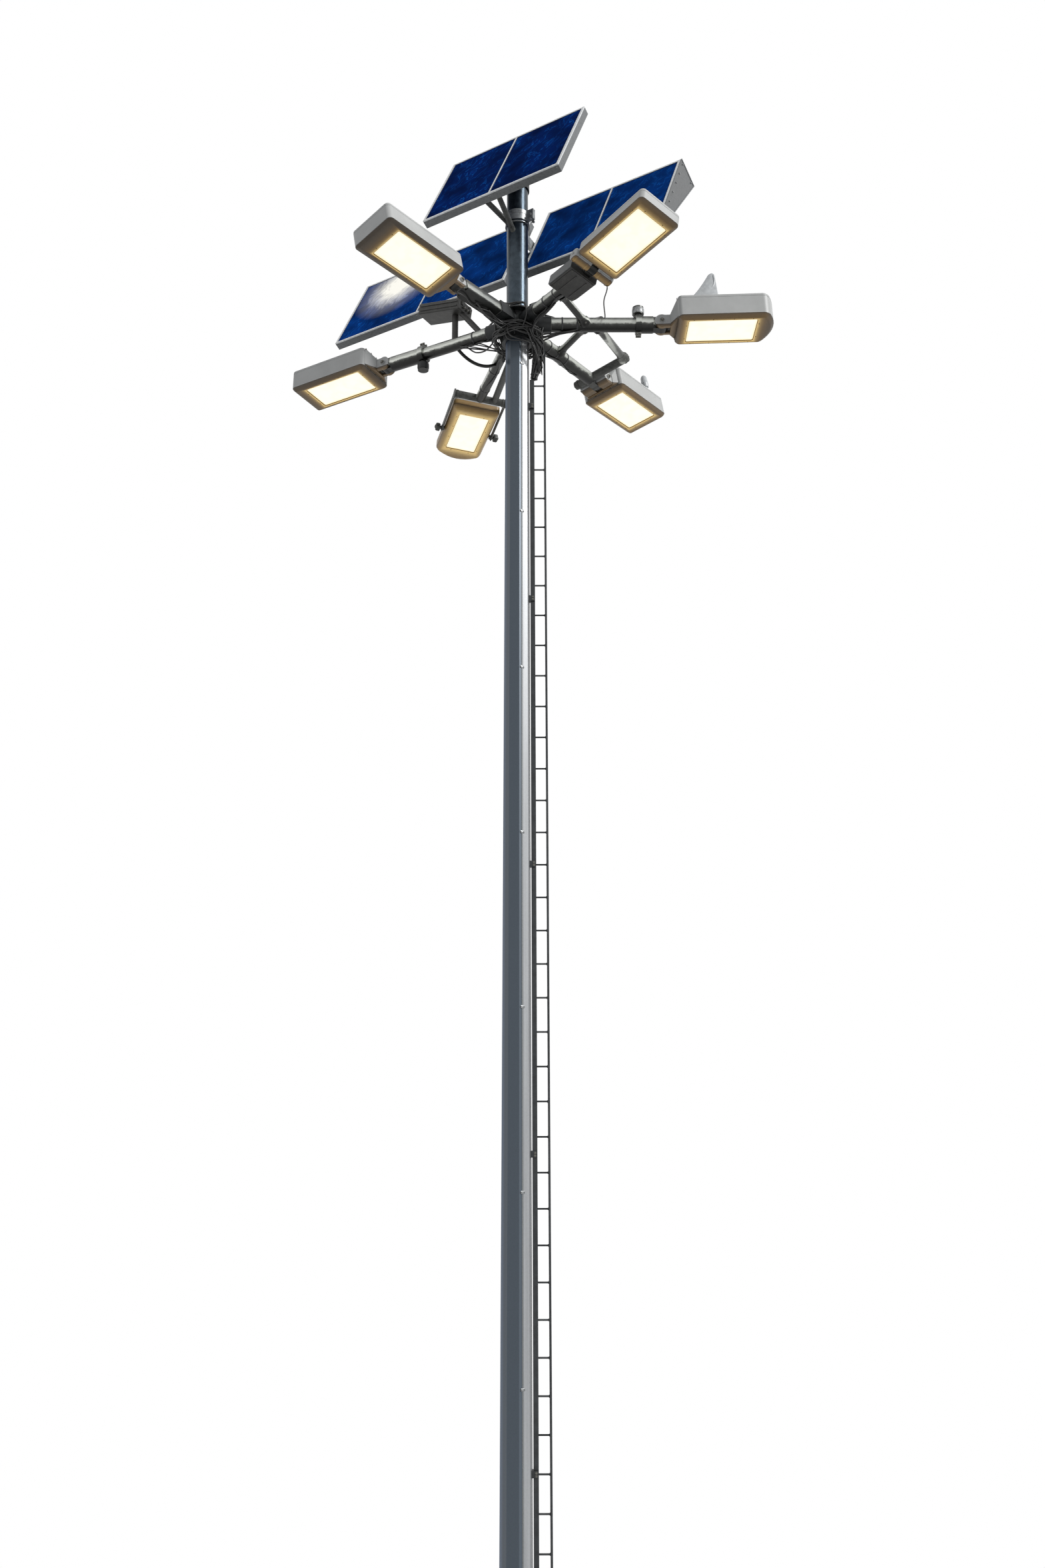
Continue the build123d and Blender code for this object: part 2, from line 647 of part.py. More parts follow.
def build_trunnions():
    """Boss, pin and hand knob on each side of the yoke-mounted head."""
    head = HEADS[5]
    x, z = head.pivot_x, head.pivot_z
    half = CASTINGS[5].half
    outer = YOKE_SIDE + YOKE_T + EAR_GAP
    knob = outer + TRUNNION_NECK
    parts = []
    for side in (-1, 1):
        boss = cross_rod(x, side * half, side * (YOKE_SIDE - EAR_GAP), TRUNNION_R, z)
        boss += cross_rod(x, side * half, side * outer, PIN_R, z)
        boss += cross_rod(x, side * outer, side * knob, TRUNNION_R, z)
        boss += cross_rod(x, side * knob, side * (outer + TRUNNION_OUT), TRUNNION_KNOB, z)
        parts.append(head_plane(5).location * boss)
    return parts


def build_fin():
    """Upright curved fin on the back of head 3."""
    base = CASTINGS[3].top
    low_end, high_end = FIN_FOOT
    tip = Vector(FIN_TIP, base + FIN_H)
    shoulder = Vector(FIN_TIP + FIN_CREST, base + FIN_H - FIN_CREST / 2)
    waist = Vector(low_end + (FIN_TIP - low_end) * FIN_WAIST[0], base + FIN_H * FIN_WAIST[1])
    edge = Line((high_end, base), (low_end, base))
    back = ThreePointArc((low_end, base), waist, tip)
    crest = ThreePointArc(tip, (tip + shoulder) / 2 + Vector(*FIN_CROWN), shoulder)
    front = Line(shoulder, (high_end, base))
    fin = extrude(Plane.XZ * make_face([edge, back, crest, front]), FIN_T / 2, both=True)
    return head_plane(3).location * (Pos(0, FIN_Y, 0) * fin)


def build_sensor():
    """Round light sensor on its stem on the back of head 4."""
    foot = Vector(SENSOR_X, SENSOR_Y, CASTINGS[4].top)
    neck = foot + UP * SENSOR_STEM
    sensor = rod(foot, neck, SENSOR_R * KNOB_WAIST) + rod(neck, foot + UP * SENSOR_H, SENSOR_R)
    return head_plane(4).location * sensor


# ---------------------------------------------------------------- braces and gear box
def saddled(bar):
    """Bar with its ends cut to sit on the outside of the arms."""
    for number, radius in ARM_RADII.items():
        bar -= arm_line(number, ARM_START, HEADS[number].reach, radius)
    return bar


def build_braces():
    """Tubes between the arms: straight ones, and one that sags."""
    bars = []
    for first, second, reach, radius, sag in BRACES:
        start = polar(HEADS[first].azimuth, reach)
        end = polar(HEADS[second].azimuth, reach)
        if sag:
            path = ThreePointArc(start, (start + end) / 2 - UP * sag, end)
            section = Plane(origin=path @ 0, z_dir=path % 0) * (Circle(radius) - Circle(radius - ARM_WALL))
            bar = sweep(section, path)
        else:
            bar = rod(start, end, radius, radius - ARM_WALL)
        bars.append(saddled(bar))
    far = arm_plane(4).from_local_coords(Vector(CROSSBAR_X, LONG_BRACE_END, 0))
    bar = rod(polar(HEADS[3].azimuth, LONG_BRACE_REACH), far, LONG_BRACE_R, LONG_BRACE_R - ARM_WALL)
    bars.append(saddled(bar) - crossbar_rod())
    return bars


def build_gear_left():
    """Shallow gear box held over arm 6 on two legs."""
    azimuth = HEADS[6].azimuth
    out = polar(azimuth, 1) - polar(0, 0)
    along = out * cos(radians(PACK_LEAN)) + UP * sin(radians(PACK_LEAN))
    plane = Plane(origin=polar(azimuth, PACK_REACH, PACK_Z), x_dir=along, z_dir=along.cross(UP.cross(out)))
    box = plane.location * hollowed(fillet(Box(PACK_LEN, PACK_W, PACK_H).edges(), PACK_CORNER), GEAR_WALL)
    for foot, top, drop, radius in PACK_LEGS:
        box += rod(polar(azimuth, foot), polar(azimuth, top, PACK_Z - drop), radius)
    return saddled(box)


# ---------------------------------------------------------------- solar arrays
def array_plane(back, height):
    """Plane of an array's glass: x along the array, y up the slope, z out of the glass."""
    along = Vector(cos(radians(ARRAY_AZ)), sin(radians(ARRAY_AZ)), 0)
    behind = UP.cross(along)
    normal = UP * cos(radians(ARRAY_TILT)) - behind * sin(radians(ARRAY_TILT))
    return Plane(origin=behind * back + UP * (HUB_Z + height), x_dir=along, z_dir=normal)


UPPER = array_plane(UPPER_BACK, UPPER_Z)
LOWER = array_plane(LOWER_BACK, LOWER_Z)


def build_array(plane, span, count):
    """Frame and glass of an array that spans two places along its plane."""
    start, end = span
    frame = Pos((start + end) / 2, 0, -FRAME_D / 2) * Box(end - start, ARRAY_W, FRAME_D)
    clear = (end - start - 2 * FRAME_FACE - (count - 1) * DIVIDER) / count
    height = ARRAY_W - 2 * FRAME_FACE
    glass = []
    for index in range(count):
        x = start + FRAME_FACE + clear / 2 + index * (clear + DIVIDER)
        frame -= Pos(x, 0, -FRAME_D / 2) * Box(clear, height, FRAME_D)
        pane = Pos(x, 0, -GLASS_SET - GLASS_T / 2) * Box(clear, height, GLASS_T)
        glass.append(plane.location * pane)
    return plane.location * frame, glass


def build_end_plate():
    """Plate that closes the outer end of the right-hand array, deepest at its upper corner."""
    half = ARRAY_W / 2
    outline = Polyline((-half, 0), (half, 0), (half, -END_PLATE_D), (-half, -FRAME_D), close=True)
    side = Plane(origin=(RIGHT_SPAN[1], 0, 0), x_dir=(0, 1, 0), z_dir=(1, 0, 0))
    return LOWER.location * extrude(side * make_face(outline), END_PLATE_T)


def beam_rod(start, end, radius, bore=0.0):
    """Round bar on the beam's line behind the lower arrays."""
    return rod(LOWER.from_local_coords(Vector(start, 0, BEAM_DROP)),
               LOWER.from_local_coords(Vector(end, 0, BEAM_DROP)), radius, bore)


def build_beam():
    return beam_rod(LEFT_SPAN[0] + BEAM_SHORT, RIGHT_SPAN[1] - BEAM_SHORT, BEAM_R, BEAM_R - BEAM_WALL)


def build_lower_clamp():
    """Clamp collar on the tube with two lugs, and the arm that reaches back to the beam."""
    across = LOWER.x_dir
    behind = UP.cross(across)
    half = UP * (CLAMP_H / 2)
    middle = UP * CLAMP_Z
    collar = rod(middle - half, middle + half, TUBE_R + CLAMP_WALL)
    start = across * CLAMP_ARM + behind * TUBE_R / 2 + middle
    end = LOWER.from_local_coords(Vector(CLAMP_ARM, 0, BEAM_DROP))
    collar += box_bar(start, end, CLAMP_ARM_T, CLAMP_H, across)
    lug = across * (TUBE_R + CLAMP_LUG / 3) + middle
    collar += box_bar(lug - half, lug + half, CLAMP_LUG, CLAMP_ARM_T, across)
    collar -= rod(middle - half * 2, middle + half * 2, TUBE_R)
    return collar - beam_rod(CLAMP_ARM - CLAMP_H, CLAMP_ARM + CLAMP_H, BEAM_R)


def build_upper_mount():
    """Rail along the back of the upper array, and its bracket and collar on the tube."""
    rail = UPPER.location * (Pos(0, 0, -FRAME_D - RAIL / 2) * Box(RAIL_LEN, RAIL, RAIL))
    seat = UPPER.from_local_coords(Vector(0, 0, -FRAME_D - RAIL / 2))
    half = UP * (UPPER_COLLAR_H / 2)
    middle = UP * UPPER_COLLAR_Z
    collar = rod(middle - half, middle + half, TUBE_R + CLAMP_WALL)
    start = Vector(seat.X, seat.Y, 0) * 0.5 + middle
    bracket = box_bar(start, seat, BRACKET_W, BRACKET_T, UPPER.x_dir)
    bore = rod(Vector(0, 0, HUB_Z), Vector(0, 0, HUB_Z + TUBE_TOP + TUBE_CAP), TUBE_R)
    return rail + bracket + collar - bore - upper_slab()


def upper_slab():
    """The upper array as one slab, to cut its supports to."""
    start, end = UPPER_SPAN
    return UPPER.location * (Pos((start + end) / 2, 0, -FRAME_D / 2) * Box(end - start, ARRAY_W, FRAME_D))


def build_upper_strut():
    """Two struts from the tube forward to the lower edge of the upper array."""
    low = UP * STRUT_Z
    bars = []
    for place in STRUT_PLACES:
        high = UPPER.from_local_coords(Vector(place, -ARRAY_W / 2 + FRAME_FACE, -FRAME_D))
        bar = rod(low, high, STRUT_R)
        bar -= rod(low - UP * TUBE_R * 2, low + UP * TUBE_R * 2, TUBE_R)
        bars.append(bar - upper_slab())
        low += UP * STRUT_STEP
    return bars


# ---------------------------------------------------------------- ladder
LADDER_LEAN = degrees(atan(MAST_TAPER * cos(radians(MAST_TURN))))


def on_mast_side(shape, height):
    """Place a shape against the mast's corner at +X, leaning with the taper."""
    return Pos(mast_edge(height), 0, height) * Rot(0, -LADDER_LEAN, 0) * shape


def build_ladder():
    inner_x = CHANNEL_OFF + CHANNEL_W / 2
    outer_x = inner_x + STILE_GAP
    low = LADDER_LOW - LADDER_TOP
    top = OUTER_TOP - LADDER_TOP
    frame = Pos(inner_x, 0, low / 2) * Box(CHANNEL_W, CHANNEL_D, -low)
    frame -= Pos(inner_x - CHANNEL_WALL, 0, low / 2) * Box(
        CHANNEL_W, CHANNEL_D - 2 * CHANNEL_WALL, -low)
    frame += Pos(outer_x, 0, (low + top) / 2) * Box(OUTER_W, OUTER_D, top - low)
    count = int((-low - TOP_RUNG - LOW_RUNG) // RUNG_PITCH) + 1
    start = inner_x + CHANNEL_W / 2 - CHANNEL_WALL
    for index in range(count):
        height = -TOP_RUNG - RUNG_PITCH * index
        frame += rod(Vector(start, 0, height), Vector(outer_x, 0, height), RUNG_R)
    return on_mast_side(frame, LADDER_TOP)


def build_ladder_brackets():
    """Clips from the mast round the channel."""
    brackets = []
    corner = (Align.MIN, Align.CENTER, Align.CENTER)
    length = CLIP_ROOT + CHANNEL_OFF + CHANNEL_W - 2 * CLIP_PLAY
    for height in BRACKETS:
        clip = Pos(-CLIP_ROOT, 0, 0) * Box(length, CHANNEL_D + 2 * CLIP_WRAP, CLIP_H, align=corner)
        clip -= Pos(CHANNEL_OFF, 0, 0) * Box(length, CHANNEL_D + 2 * CLIP_PLAY, CLIP_H, align=corner)
        low, high = height - CLIP_H, height + CLIP_H
        mast = octagon_bar(low, mast_radius(low), high, mast_radius(high))
        brackets.append(on_mast_side(clip, height) - mast)
    return brackets


def build_cables():
    """Tied bundle of supply cables from the hub down to the ladder's channel."""
    path = FilletPolyline(*[Vector(*point) + UP * HUB_Z for point in CABLES_ROUTE], radius=CABLES_BEND)
    return sweep(Plane(origin=path @ 0, z_dir=path % 0) * Circle(CABLES_R), path)


# ---------------------------------------------------------------- write every node
save("base_plate", build_base())
save("mast_lower_section", build_lower())
save("handhole_door", build_door())
save("mast_shaft", build_shaft())
save("mast_top_tube", build_tube())
save("hub", build_hub())
save("arm_1", build_arm_1())
save("arm_2", build_arm_2())
save("arm_2_side_plate", build_side_plate())
for number in (3, 4, 5, 6):
    save("arm_%d" % number, build_round_arm(number))
for number in SLEEVE_STARTS:
    save("sleeve_%d" % number, build_sleeve(number))
save("crossbar_4", build_crossbar())
save("yoke_5_strut", build_yoke_strut())
save("yoke_5_crossbar", hollowed(yoke_rod(), ARM_WALL))
save("yoke_5_sides", *build_yoke_sides())
for number in HEADS:
    save("head_%d_housing" % number, build_housing(number))
    save("head_%d_lens" % number, build_lens(number))
for number in (1, 3, 4, 6):
    save("head_%d_cap" % number, build_cap(number))
save("head_2_barrel", build_barrel())
save("head_5_trunnions", *build_trunnions())
save("head_3_fin", build_fin())
save("head_4_sensor", build_sensor())
save("braces", *build_braces())
save("gear_box_left", build_gear_left())
save("gear_box_right", build_gear_right())
for name, plane, span, count in (("upper", UPPER, UPPER_SPAN, 2), ("left", LOWER, LEFT_SPAN, 2),
                                 ("right", LOWER, RIGHT_SPAN, 2)):
    frame, glass = build_array(plane, span, count)
    save(name + "_array_frame", frame)
    save(name + "_array_glass", *glass)
save("right_array_end_plate", build_end_plate())
save("upper_array_mount", build_upper_mount())
save("upper_array_strut", *build_upper_strut())
save("lower_beam", build_beam())
save("lower_clamp", build_lower_clamp())
save("ladder", build_ladder())
save("ladder_brackets", *build_ladder_brackets())
save("supply_cables", build_cables())
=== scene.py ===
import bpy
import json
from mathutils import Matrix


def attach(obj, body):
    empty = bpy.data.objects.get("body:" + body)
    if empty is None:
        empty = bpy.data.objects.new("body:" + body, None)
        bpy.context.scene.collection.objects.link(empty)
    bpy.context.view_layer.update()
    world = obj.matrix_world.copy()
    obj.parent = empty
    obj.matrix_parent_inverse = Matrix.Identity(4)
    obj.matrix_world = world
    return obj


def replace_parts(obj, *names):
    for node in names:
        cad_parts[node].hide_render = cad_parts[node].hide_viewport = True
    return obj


bl_info = {
    "name": "High mast floodlight tower",
    "version": (1, 0, 0),
    "blender": (4, 5, 0),
    "location": "3D View > Sidebar > Tower",
    "description": "Finishes and fine pieces of a high mast floodlight tower",
    "category": "Add Mesh",
}

import json

import bpy
import numpy as np

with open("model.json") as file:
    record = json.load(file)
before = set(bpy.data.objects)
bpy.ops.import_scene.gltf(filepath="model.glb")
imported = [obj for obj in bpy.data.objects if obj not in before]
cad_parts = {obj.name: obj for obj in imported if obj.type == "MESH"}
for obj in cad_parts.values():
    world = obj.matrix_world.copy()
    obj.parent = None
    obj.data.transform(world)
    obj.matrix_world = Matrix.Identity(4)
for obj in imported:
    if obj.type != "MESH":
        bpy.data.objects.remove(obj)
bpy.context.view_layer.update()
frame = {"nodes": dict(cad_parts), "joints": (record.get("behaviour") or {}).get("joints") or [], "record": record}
NODES = frame["nodes"]
JOINTS = {joint["name"]: joint for joint in frame["joints"]}
MOUNTS = {mount["name"]: mount for mount in frame["record"]["mounts"]}
MM = 0.001
UP = np.array([0.0, 0.0, 1.0])
WORLD = np.eye(3)
HUB_Z = JOINTS["head_1_tilt"]["pos_m"][2]
HEADS = (1, 2, 3, 4, 5, 6)
KNUCKLES = (1, 3, 4, 6)
ARRAYS = ("upper", "left", "right")
BEVEL = 40 * MM             # a casting's underside slopes up over this width to its rim
CORNER = 44 * MM            # radius of a casting's upright corners
BOLT_TURN = 10.0            # azimuth of the first anchor bolt
MAST_TURN = 10.0            # azimuth of one corner of the octagonal mast
# azimuth of the mast's side that carries painted shade
SHADED_SIDE = np.radians(-135)
LADDER_TOP = 14385 * MM
RUNG_PITCH = 300 * MM
FLANGE = 30 * MM            # thickness of the mast's base flange
LEFT_BOX = np.array((510, 250, 115)) * MM       # the left gear box without its legs

# how far the outer ends of these castings bow out
END_BOWS = {3: 85 * MM, 5: 95 * MM}
# how much of the lamp's light reaches round onto the sides of these castings
SIDE_GLOW = {2: 0.0, 5: 0.45}
# width, in mm, over which the light round a lens fades, and the share of it that is left far from the lens
LIT_REACH = {1: 42, 2: 60, 3: 60, 4: 75, 5: 190, 6: 50}
FAINTEST = 0.06
# heights over and under a lens, in mm, between which its light fades on the cover beside it
COVER_LIGHT = {1: (45, 60), 2: (5, 25), 3: (45, 60), 4: (45, 60), 6: (45, 60)}
# painted light of the lamp beside the left array: a pale patch round a point of the array, and how far it reaches,
# in metres
GLARES = {"left": ((-1.33, 1.48, 16.43), 0.68)}
# each sleeve's hand knob, in mm: how far out it stands, how high its foot is, and whether it points up
SLEEVE_KNOBS = {3: (1213, 109, 1), 6: (1128, 102, -1)}
# middle line of the tied bundle of supply cables, in mm, with heights from the hub
BUNDLE = ((205, -40, -94), (205, -36, -260), (188, -26, -430), (165, 0, -600))
# how far out, left and right, and how far below the hub, the arms' cables stray on their way down, in metres
CABLE_DROP = ((0.26, -0.07, 0.04, 0.3, 0.42), (0.22, -0.035, 0.03, 0.46, 0.54))
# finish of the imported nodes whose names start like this: the longest start wins
FINISHES = {
    "mast": "mast", "base_plate": "mast", "handhole": "mast", "mast_top_tube": "tube", "lower_beam": "tube",
    "hub": "dark", "upper_array_mount": "dark", "supply_cables": "cables", "lower_clamp": "clamp",
    "arm": "arm", "sleeve": "arm", "braces": "stay", "crossbar": "brace", "yoke": "brace",
    "upper_array_strut": "brace", "arm_2_side_plate": "plates", "right_array_end_plate": "plates",
    "gear_box": "boxes", "ladder": "ladder", "head": "casting",
    "head_1_cap": "head_1", "head_2_barrel": "head_2", "head_3_cap": "head_3", "head_4_cap": "head_4",
    "head_6_cap": "head_6",
    "upper_array_frame": "upper_frame", "left_array_frame": "left_frame", "right_array_frame": "right_frame",
    "upper_array_glass": "upper_glass", "left_array_glass": "left_glass", "right_array_glass": "right_glass",
}


# ---------------------------------------------------------------- colours
def linear(code):
    """Linear colour of an sRGB hex value: c / 12.92 under 0.04045, else ((c + 0.055) / 1.055) ^ 2.4."""
    value = np.array([int(code[i:i + 2], 16) for i in (1, 3, 5)]) / 255
    return tuple(np.where(value <= 0.04045, value / 12.92, ((value + 0.055) / 1.055) ** 2.4))


def colour_property(name, code, description):
    """A colour that a user can change."""
    return bpy.props.FloatVectorProperty(
        name=name, description=description, default=linear(code), subtype="COLOR", min=0, max=1)


def size_property(name, millimetres, description):
    """A length that a user can change."""
    return bpy.props.FloatProperty(
        name=name, description=description, default=millimetres * MM, min=0, unit="LENGTH")


class TowerColours(bpy.types.PropertyGroup):
    """Colours of the tower's finishes"""
    # the pale zinc is the mast's side towards the key light; the blue-grey after it is painted shade on the side
    # away from it, standing also for weathered zinc
    zinc: colour_property("Galvanised zinc", "#a9abad", "Dull zinc of the mast's sheltered side")
    patina: colour_property("Zinc patina", "#4b555f", "Blue-grey patina of the mast's weather side")
    tube: colour_property("Tube steel", "#3b434a", "Dark steel of the upper tube and the arrays' beam")
    arm: colour_property("Arm steel", "#4e4f4c", "Dark galvanised steel of the arms and their braces")
    # nearly black zinc of the hub and the upper array's mount
    hub: colour_property("Weathered zinc", "#212324", "Dark zinc of the hub and the upper array's mount")
    ladder: colour_property("Ladder paint", "#2b2e30", "Dark paint of the ladder")
    casting: colour_property("Casting enamel", "#c0c1bf", "Grey enamel of the floodlight castings")
    glow: colour_property("Lit enamel", "#d9b978", "Enamel where the lens lights it")
    lens: colour_property("Lens", "#fffbee", "Lit glass of the floodlights")
    cells: colour_property("Solar cells", "#04266a", "Silicon under the upper array's glass")
    # the lower arrays' cells: the same silicon as the upper array's, brighter, with a painted reflection of the
    # pale surround
    lower_cells: colour_property("Lower solar cells", "#0b4192", "Silicon under the lower arrays' glass")
    frames: colour_property("Array frames", "#c6cacc", "Anodised aluminium of the array frames")
    boxes: colour_property("Gear boxes", "#383734", "Enamel of the control gear boxes")
    cables: colour_property("Cable sheath", "#161616", "Rubber of the cables")


class TowerSizes(bpy.types.PropertyGroup):
    """Sizes of the tower's fine pieces"""
    anchor_stud: size_property("Anchor stud", 30, "Thread of the anchor studs")
    hub_bolt: size_property("Hub bolt", 16, "Thread of the bolts through the hub and the knuckles")
    clamp_bolt: size_property("Clamp bolt", 10, "Thread of the bolts of clamps and brackets")
    screw: size_property("Cover screw", 6, "Thread of the screws in covers and castings")
    weld: size_property("Weld bead", 10, "Width of the weld beads")
    cable: size_property("Cable", 15, "Diameter of a supply cable")
    rib: size_property("Cooling rib", 9, "Height of the cooling ribs on a casting")


# ---------------------------------------------------------------- shapes
def unit(vector):
    """Vectors scaled to length 1."""
    vector = np.asarray(vector, float)
    return vector / np.linalg.norm(vector, axis=-1, keepdims=True)


def square_to(direction):
    """Two unit vectors square to a direction and to each other."""
    direction = unit(direction)
    helper = UP if abs(direction[2]) < 0.9 else np.array([1.0, 0, 0])
    first = unit(np.cross(helper, direction))
    return first, np.cross(direction, first)


def quads(rows, columns, closed):
    """Corner numbers of the four-sided faces between neighbouring rings of points, each ring closed on
    itself, and the last ring joined to the first as well where the skin is closed."""
    row = np.arange(rows if closed else rows - 1)[:, None]
    column = np.arange(columns)[None, :]
    after = (column + 1) % columns
    below = (row + 1) % rows * columns
    row = row * columns
    return np.stack([row + column, row + after, below + after, below + column], -1).reshape(-1, 4).tolist()


def loft(rings):
    """Skin over rings of points (rings, columns, 3): quads join each ring to the next and each
    point to its neighbour, and two flat faces close the ends."""
    rows, columns = rings.shape[:2]
    faces = quads(rows, columns, False)
    faces.append(list(range(columns))[::-1])
    faces.append(list(range((rows - 1) * columns, rows * columns)))
    return rings.reshape(-1, 3), faces


def turned(profile, origin, direction, columns, sides=6):
    """Profile turned about an axis. Each (distance d, radius r, flat f) makes the ring of points
    origin + d * axis + r * (1 + f * (k - 1)) * (cos t * a + sin t * b), where k is
    cos(pi / s) / cos(t mod (2 pi / s) - pi / s): f = 0 is round, 1 has s flat sides, and less than
    0 has s lobes."""
    distance, radius, flat = np.array(profile, float).T[:, :, None]
    angle = np.linspace(0, 2 * np.pi, columns, endpoint=False)[None, :]
    part = np.pi / sides
    polygon = np.cos(part) / np.cos(angle % (2 * part) - part)
    reach = radius * (1 + flat * (polygon - 1))
    a, b = square_to(direction)
    around = np.cos(angle)[..., None] * a + np.sin(angle)[..., None] * b
    return loft(np.asarray(origin) + distance[..., None] * unit(direction) + reach[..., None] * around)


def path_rings(path, radius, columns, closed):
    """Circles carried along a path: p + r * (cos t * n + sin t * m), where n is square to the path and to
    the direction that the path leans on least, and m to both."""
    path = np.asarray(path, float)
    if closed:
        tangent = unit(np.roll(path, -1, 0) - np.roll(path, 1, 0))
    else:
        tangent = unit(np.gradient(path, axis=0))
    least = np.linalg.eigh(tangent.T @ tangent)[1][:, 0]
    normal = unit(np.cross(least, tangent))
    other = np.cross(tangent, normal)
    angle = np.linspace(0, 2 * np.pi, columns, endpoint=False)[None, :, None]
    radius = np.broadcast_to(np.asarray(radius, float), len(path))[:, None, None]
    return path[:, None] + radius * (np.cos(angle) * normal[:, None] + np.sin(angle) * other[:, None])


def tube(path, radius, columns=8):
    """Closed-ended round bar along a path."""
    return loft(path_rings(path, radius, columns, False))


def closed_tube(path, radius, columns=8):
    """Round bar along a closed path, with the last ring joined to the first."""
    rings = path_rings(path, radius, columns, True)
    return rings.reshape(-1, 3), quads(len(path), columns, True)


def curve(points, steps=6):
    """Smooth curve through points. Between p1 and p2 it is half of 2 p1 + (p2 - p0) t +
    (2 p0 - 5 p1 + 4 p2 - p3) t^2 + (3 p1 - p0 - 3 p2 + p3) t^3, with the end points repeated."""
    points = np.asarray(points, float)
    held = np.concatenate([points[:1], points, points[-1:]])
    p0, p1, p2, p3 = (held[i:len(held) - 3 + i, None] for i in range(4))
    t = np.linspace(0, 1, steps, endpoint=False)[None, :, None]
    body = (2 * p1 + (p2 - p0) * t + (2 * p0 - 5 * p1 + 4 * p2 - p3) * t ** 2
            + (3 * p1 - p0 - 3 * p2 + p3) * t ** 3) / 2
    return np.concatenate([body.reshape(-1, 3), points[-1:]])


def ring_path(centre, direction, radius, count=40):
    """Closed circle about an axis, as points that stop one step short of the start."""
    a, b = square_to(direction)
    angle = np.linspace(0, 2 * np.pi, count, endpoint=False)[:, None]
    return np.asarray(centre) + radius * (np.cos(angle) * a + np.sin(angle) * b)


def rounded_rectangle(half_length, half_width, corner, count, across=0):
    """Points round a rectangle with round corners, anticlockwise: each corner is the arc
    centre + c * (cos t, sin t) over a quarter turn, with a count of points. Arrays of sizes give one ring
    each, and the last points run up the end at +x, across being how many."""
    half_length, half_width, corner = (
        np.atleast_1d(size)[:, None, None] for size in (half_length, half_width, corner))
    quarter = np.arange(4)[None, :, None]
    angle = quarter * np.pi / 2 + np.linspace(0, np.pi / 2, count)[None, None, :]
    sign_x = np.where((quarter == 0) | (quarter == 3), 1, -1)
    sign_y = np.where(quarter < 2, 1, -1)
    x = (sign_x * (half_length - corner) + corner * np.cos(angle)).reshape(len(half_length), -1)
    y = (sign_y * (half_width - corner) + corner * np.sin(angle)).reshape(len(half_length), -1)
    share = np.linspace(-1, 1, across + 2)[None, 1:-1]
    end_y = (half_width - corner)[:, 0] * share
    end_x = half_length[:, 0] + 0 * share
    return np.concatenate([x, end_x], 1), np.concatenate([y, end_y], 1)


def block(centre, axes, size, corner=0.002):
    """Box with round upright edges and slightly drawn-in ends: rings of a rounded rectangle carried
    along the third axis, each ring centre + x * first + y * second + z * third."""
    length, width, height = np.asarray(size, float) / 2
    draw = np.array([corner, corner * 0.3, 0, 0, corner * 0.3, corner])
    rise = np.array([-1, -1, -1, 1, 1, 1]) * height + np.array([0, 0.3, 1, -1, -0.3, 0]) * corner
    x, y = rounded_rectangle(length - draw, width - draw, np.maximum(corner * 2 - draw, corner / 4), 3)
    first, second, third = np.asarray(axes, float)
    return loft(np.asarray(centre) + x[..., None] * first + y[..., None] * second
                + rise[:, None, None] * third)


def plate(outline, normal, thickness):
    """Flat plate: an outline, anticlockwise about its normal, carried half the thickness each way."""
    outline = np.asarray(outline, float)
    step = unit(normal) * thickness / 2
    return loft(np.stack([outline - step, outline + step]))


def scaled(profile, size):
    """Profile whose distances and radii are multiplied by a size."""
    return np.array(profile) * (size, size, 1)


def bolt(origin, direction, thread):
    """Hexagon head on a washer, thread being the bolt's own diameter. The head is 0.64 and the washer
    0.16 of the thread high."""
    profile = [(0, 1.1, 0), (0.16, 1.1, 0), (0.16, 0.85, 1), (0.72, 0.85, 1), (0.8, 0.74, 0)]
    return [turned(scaled(profile, thread), origin, direction, 12)]


def stud(origin, direction, thread, reach=0.5):
    """Washer, hexagon nut and the thread's end, which stands out of the nut by its reach in threads."""
    profile = [(0, 1.1, 0), (0.16, 1.1, 0), (0.16, 0.85, 1), (0.96, 0.85, 1), (1.0, 0.74, 0), (1.0, 0.5, 0),
               (0.95 + reach, 0.5, 0), (1.0 + reach, 0.42, 0)]
    return [turned(scaled(profile, thread), origin, direction, 12)]


def gland(origin, direction, radius):
    """Cable gland: a six-sided body, a six-sided dome nut and a round mouth."""
    profile = [(0, 1.5, 1), (0.7, 1.5, 1), (0.7, 1.1, 0), (1.0, 1.1, 0), (1.0, 1.4, 1), (2.1, 1.4, 1),
               (2.7, 1.1, 0), (2.9, 0.9, 0)]
    return turned(scaled(profile, radius), origin, direction, 12)


def merged(solids):
    """Several (points, faces) as one."""
    points = []
    faces = []
    start = 0
    for solid_points, solid_faces in solids:
        points.append(solid_points)
        faces += [[start + corner for corner in face] for face in solid_faces]
        start += len(solid_points)
    return np.concatenate(points), faces


def piece(name, solids, finish, body="root", smooth=35.0, *, slot):
    """New object from one or several (points, faces), with its place in its mesh, riding on a body and taking the
    finish of its key. The slot is not used. Edges sharper than an angle in degrees stay sharp."""
    if not solids:
        raise RuntimeError("nothing was made for the piece " + name)
    points, faces = merged(solids if isinstance(solids, list) else [solids])
    mesh = bpy.data.meshes.new(name)
    mesh.from_pydata(points.tolist(), [], faces)
    mesh.update()
    mesh.shade_smooth()
    mesh.set_sharp_from_angle(angle=np.radians(smooth))
    obj = bpy.data.objects.new(name, mesh)
    bpy.context.scene.collection.objects.link(obj)
    mesh.materials.append(materials()[finish])
    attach(obj, body)
    return obj


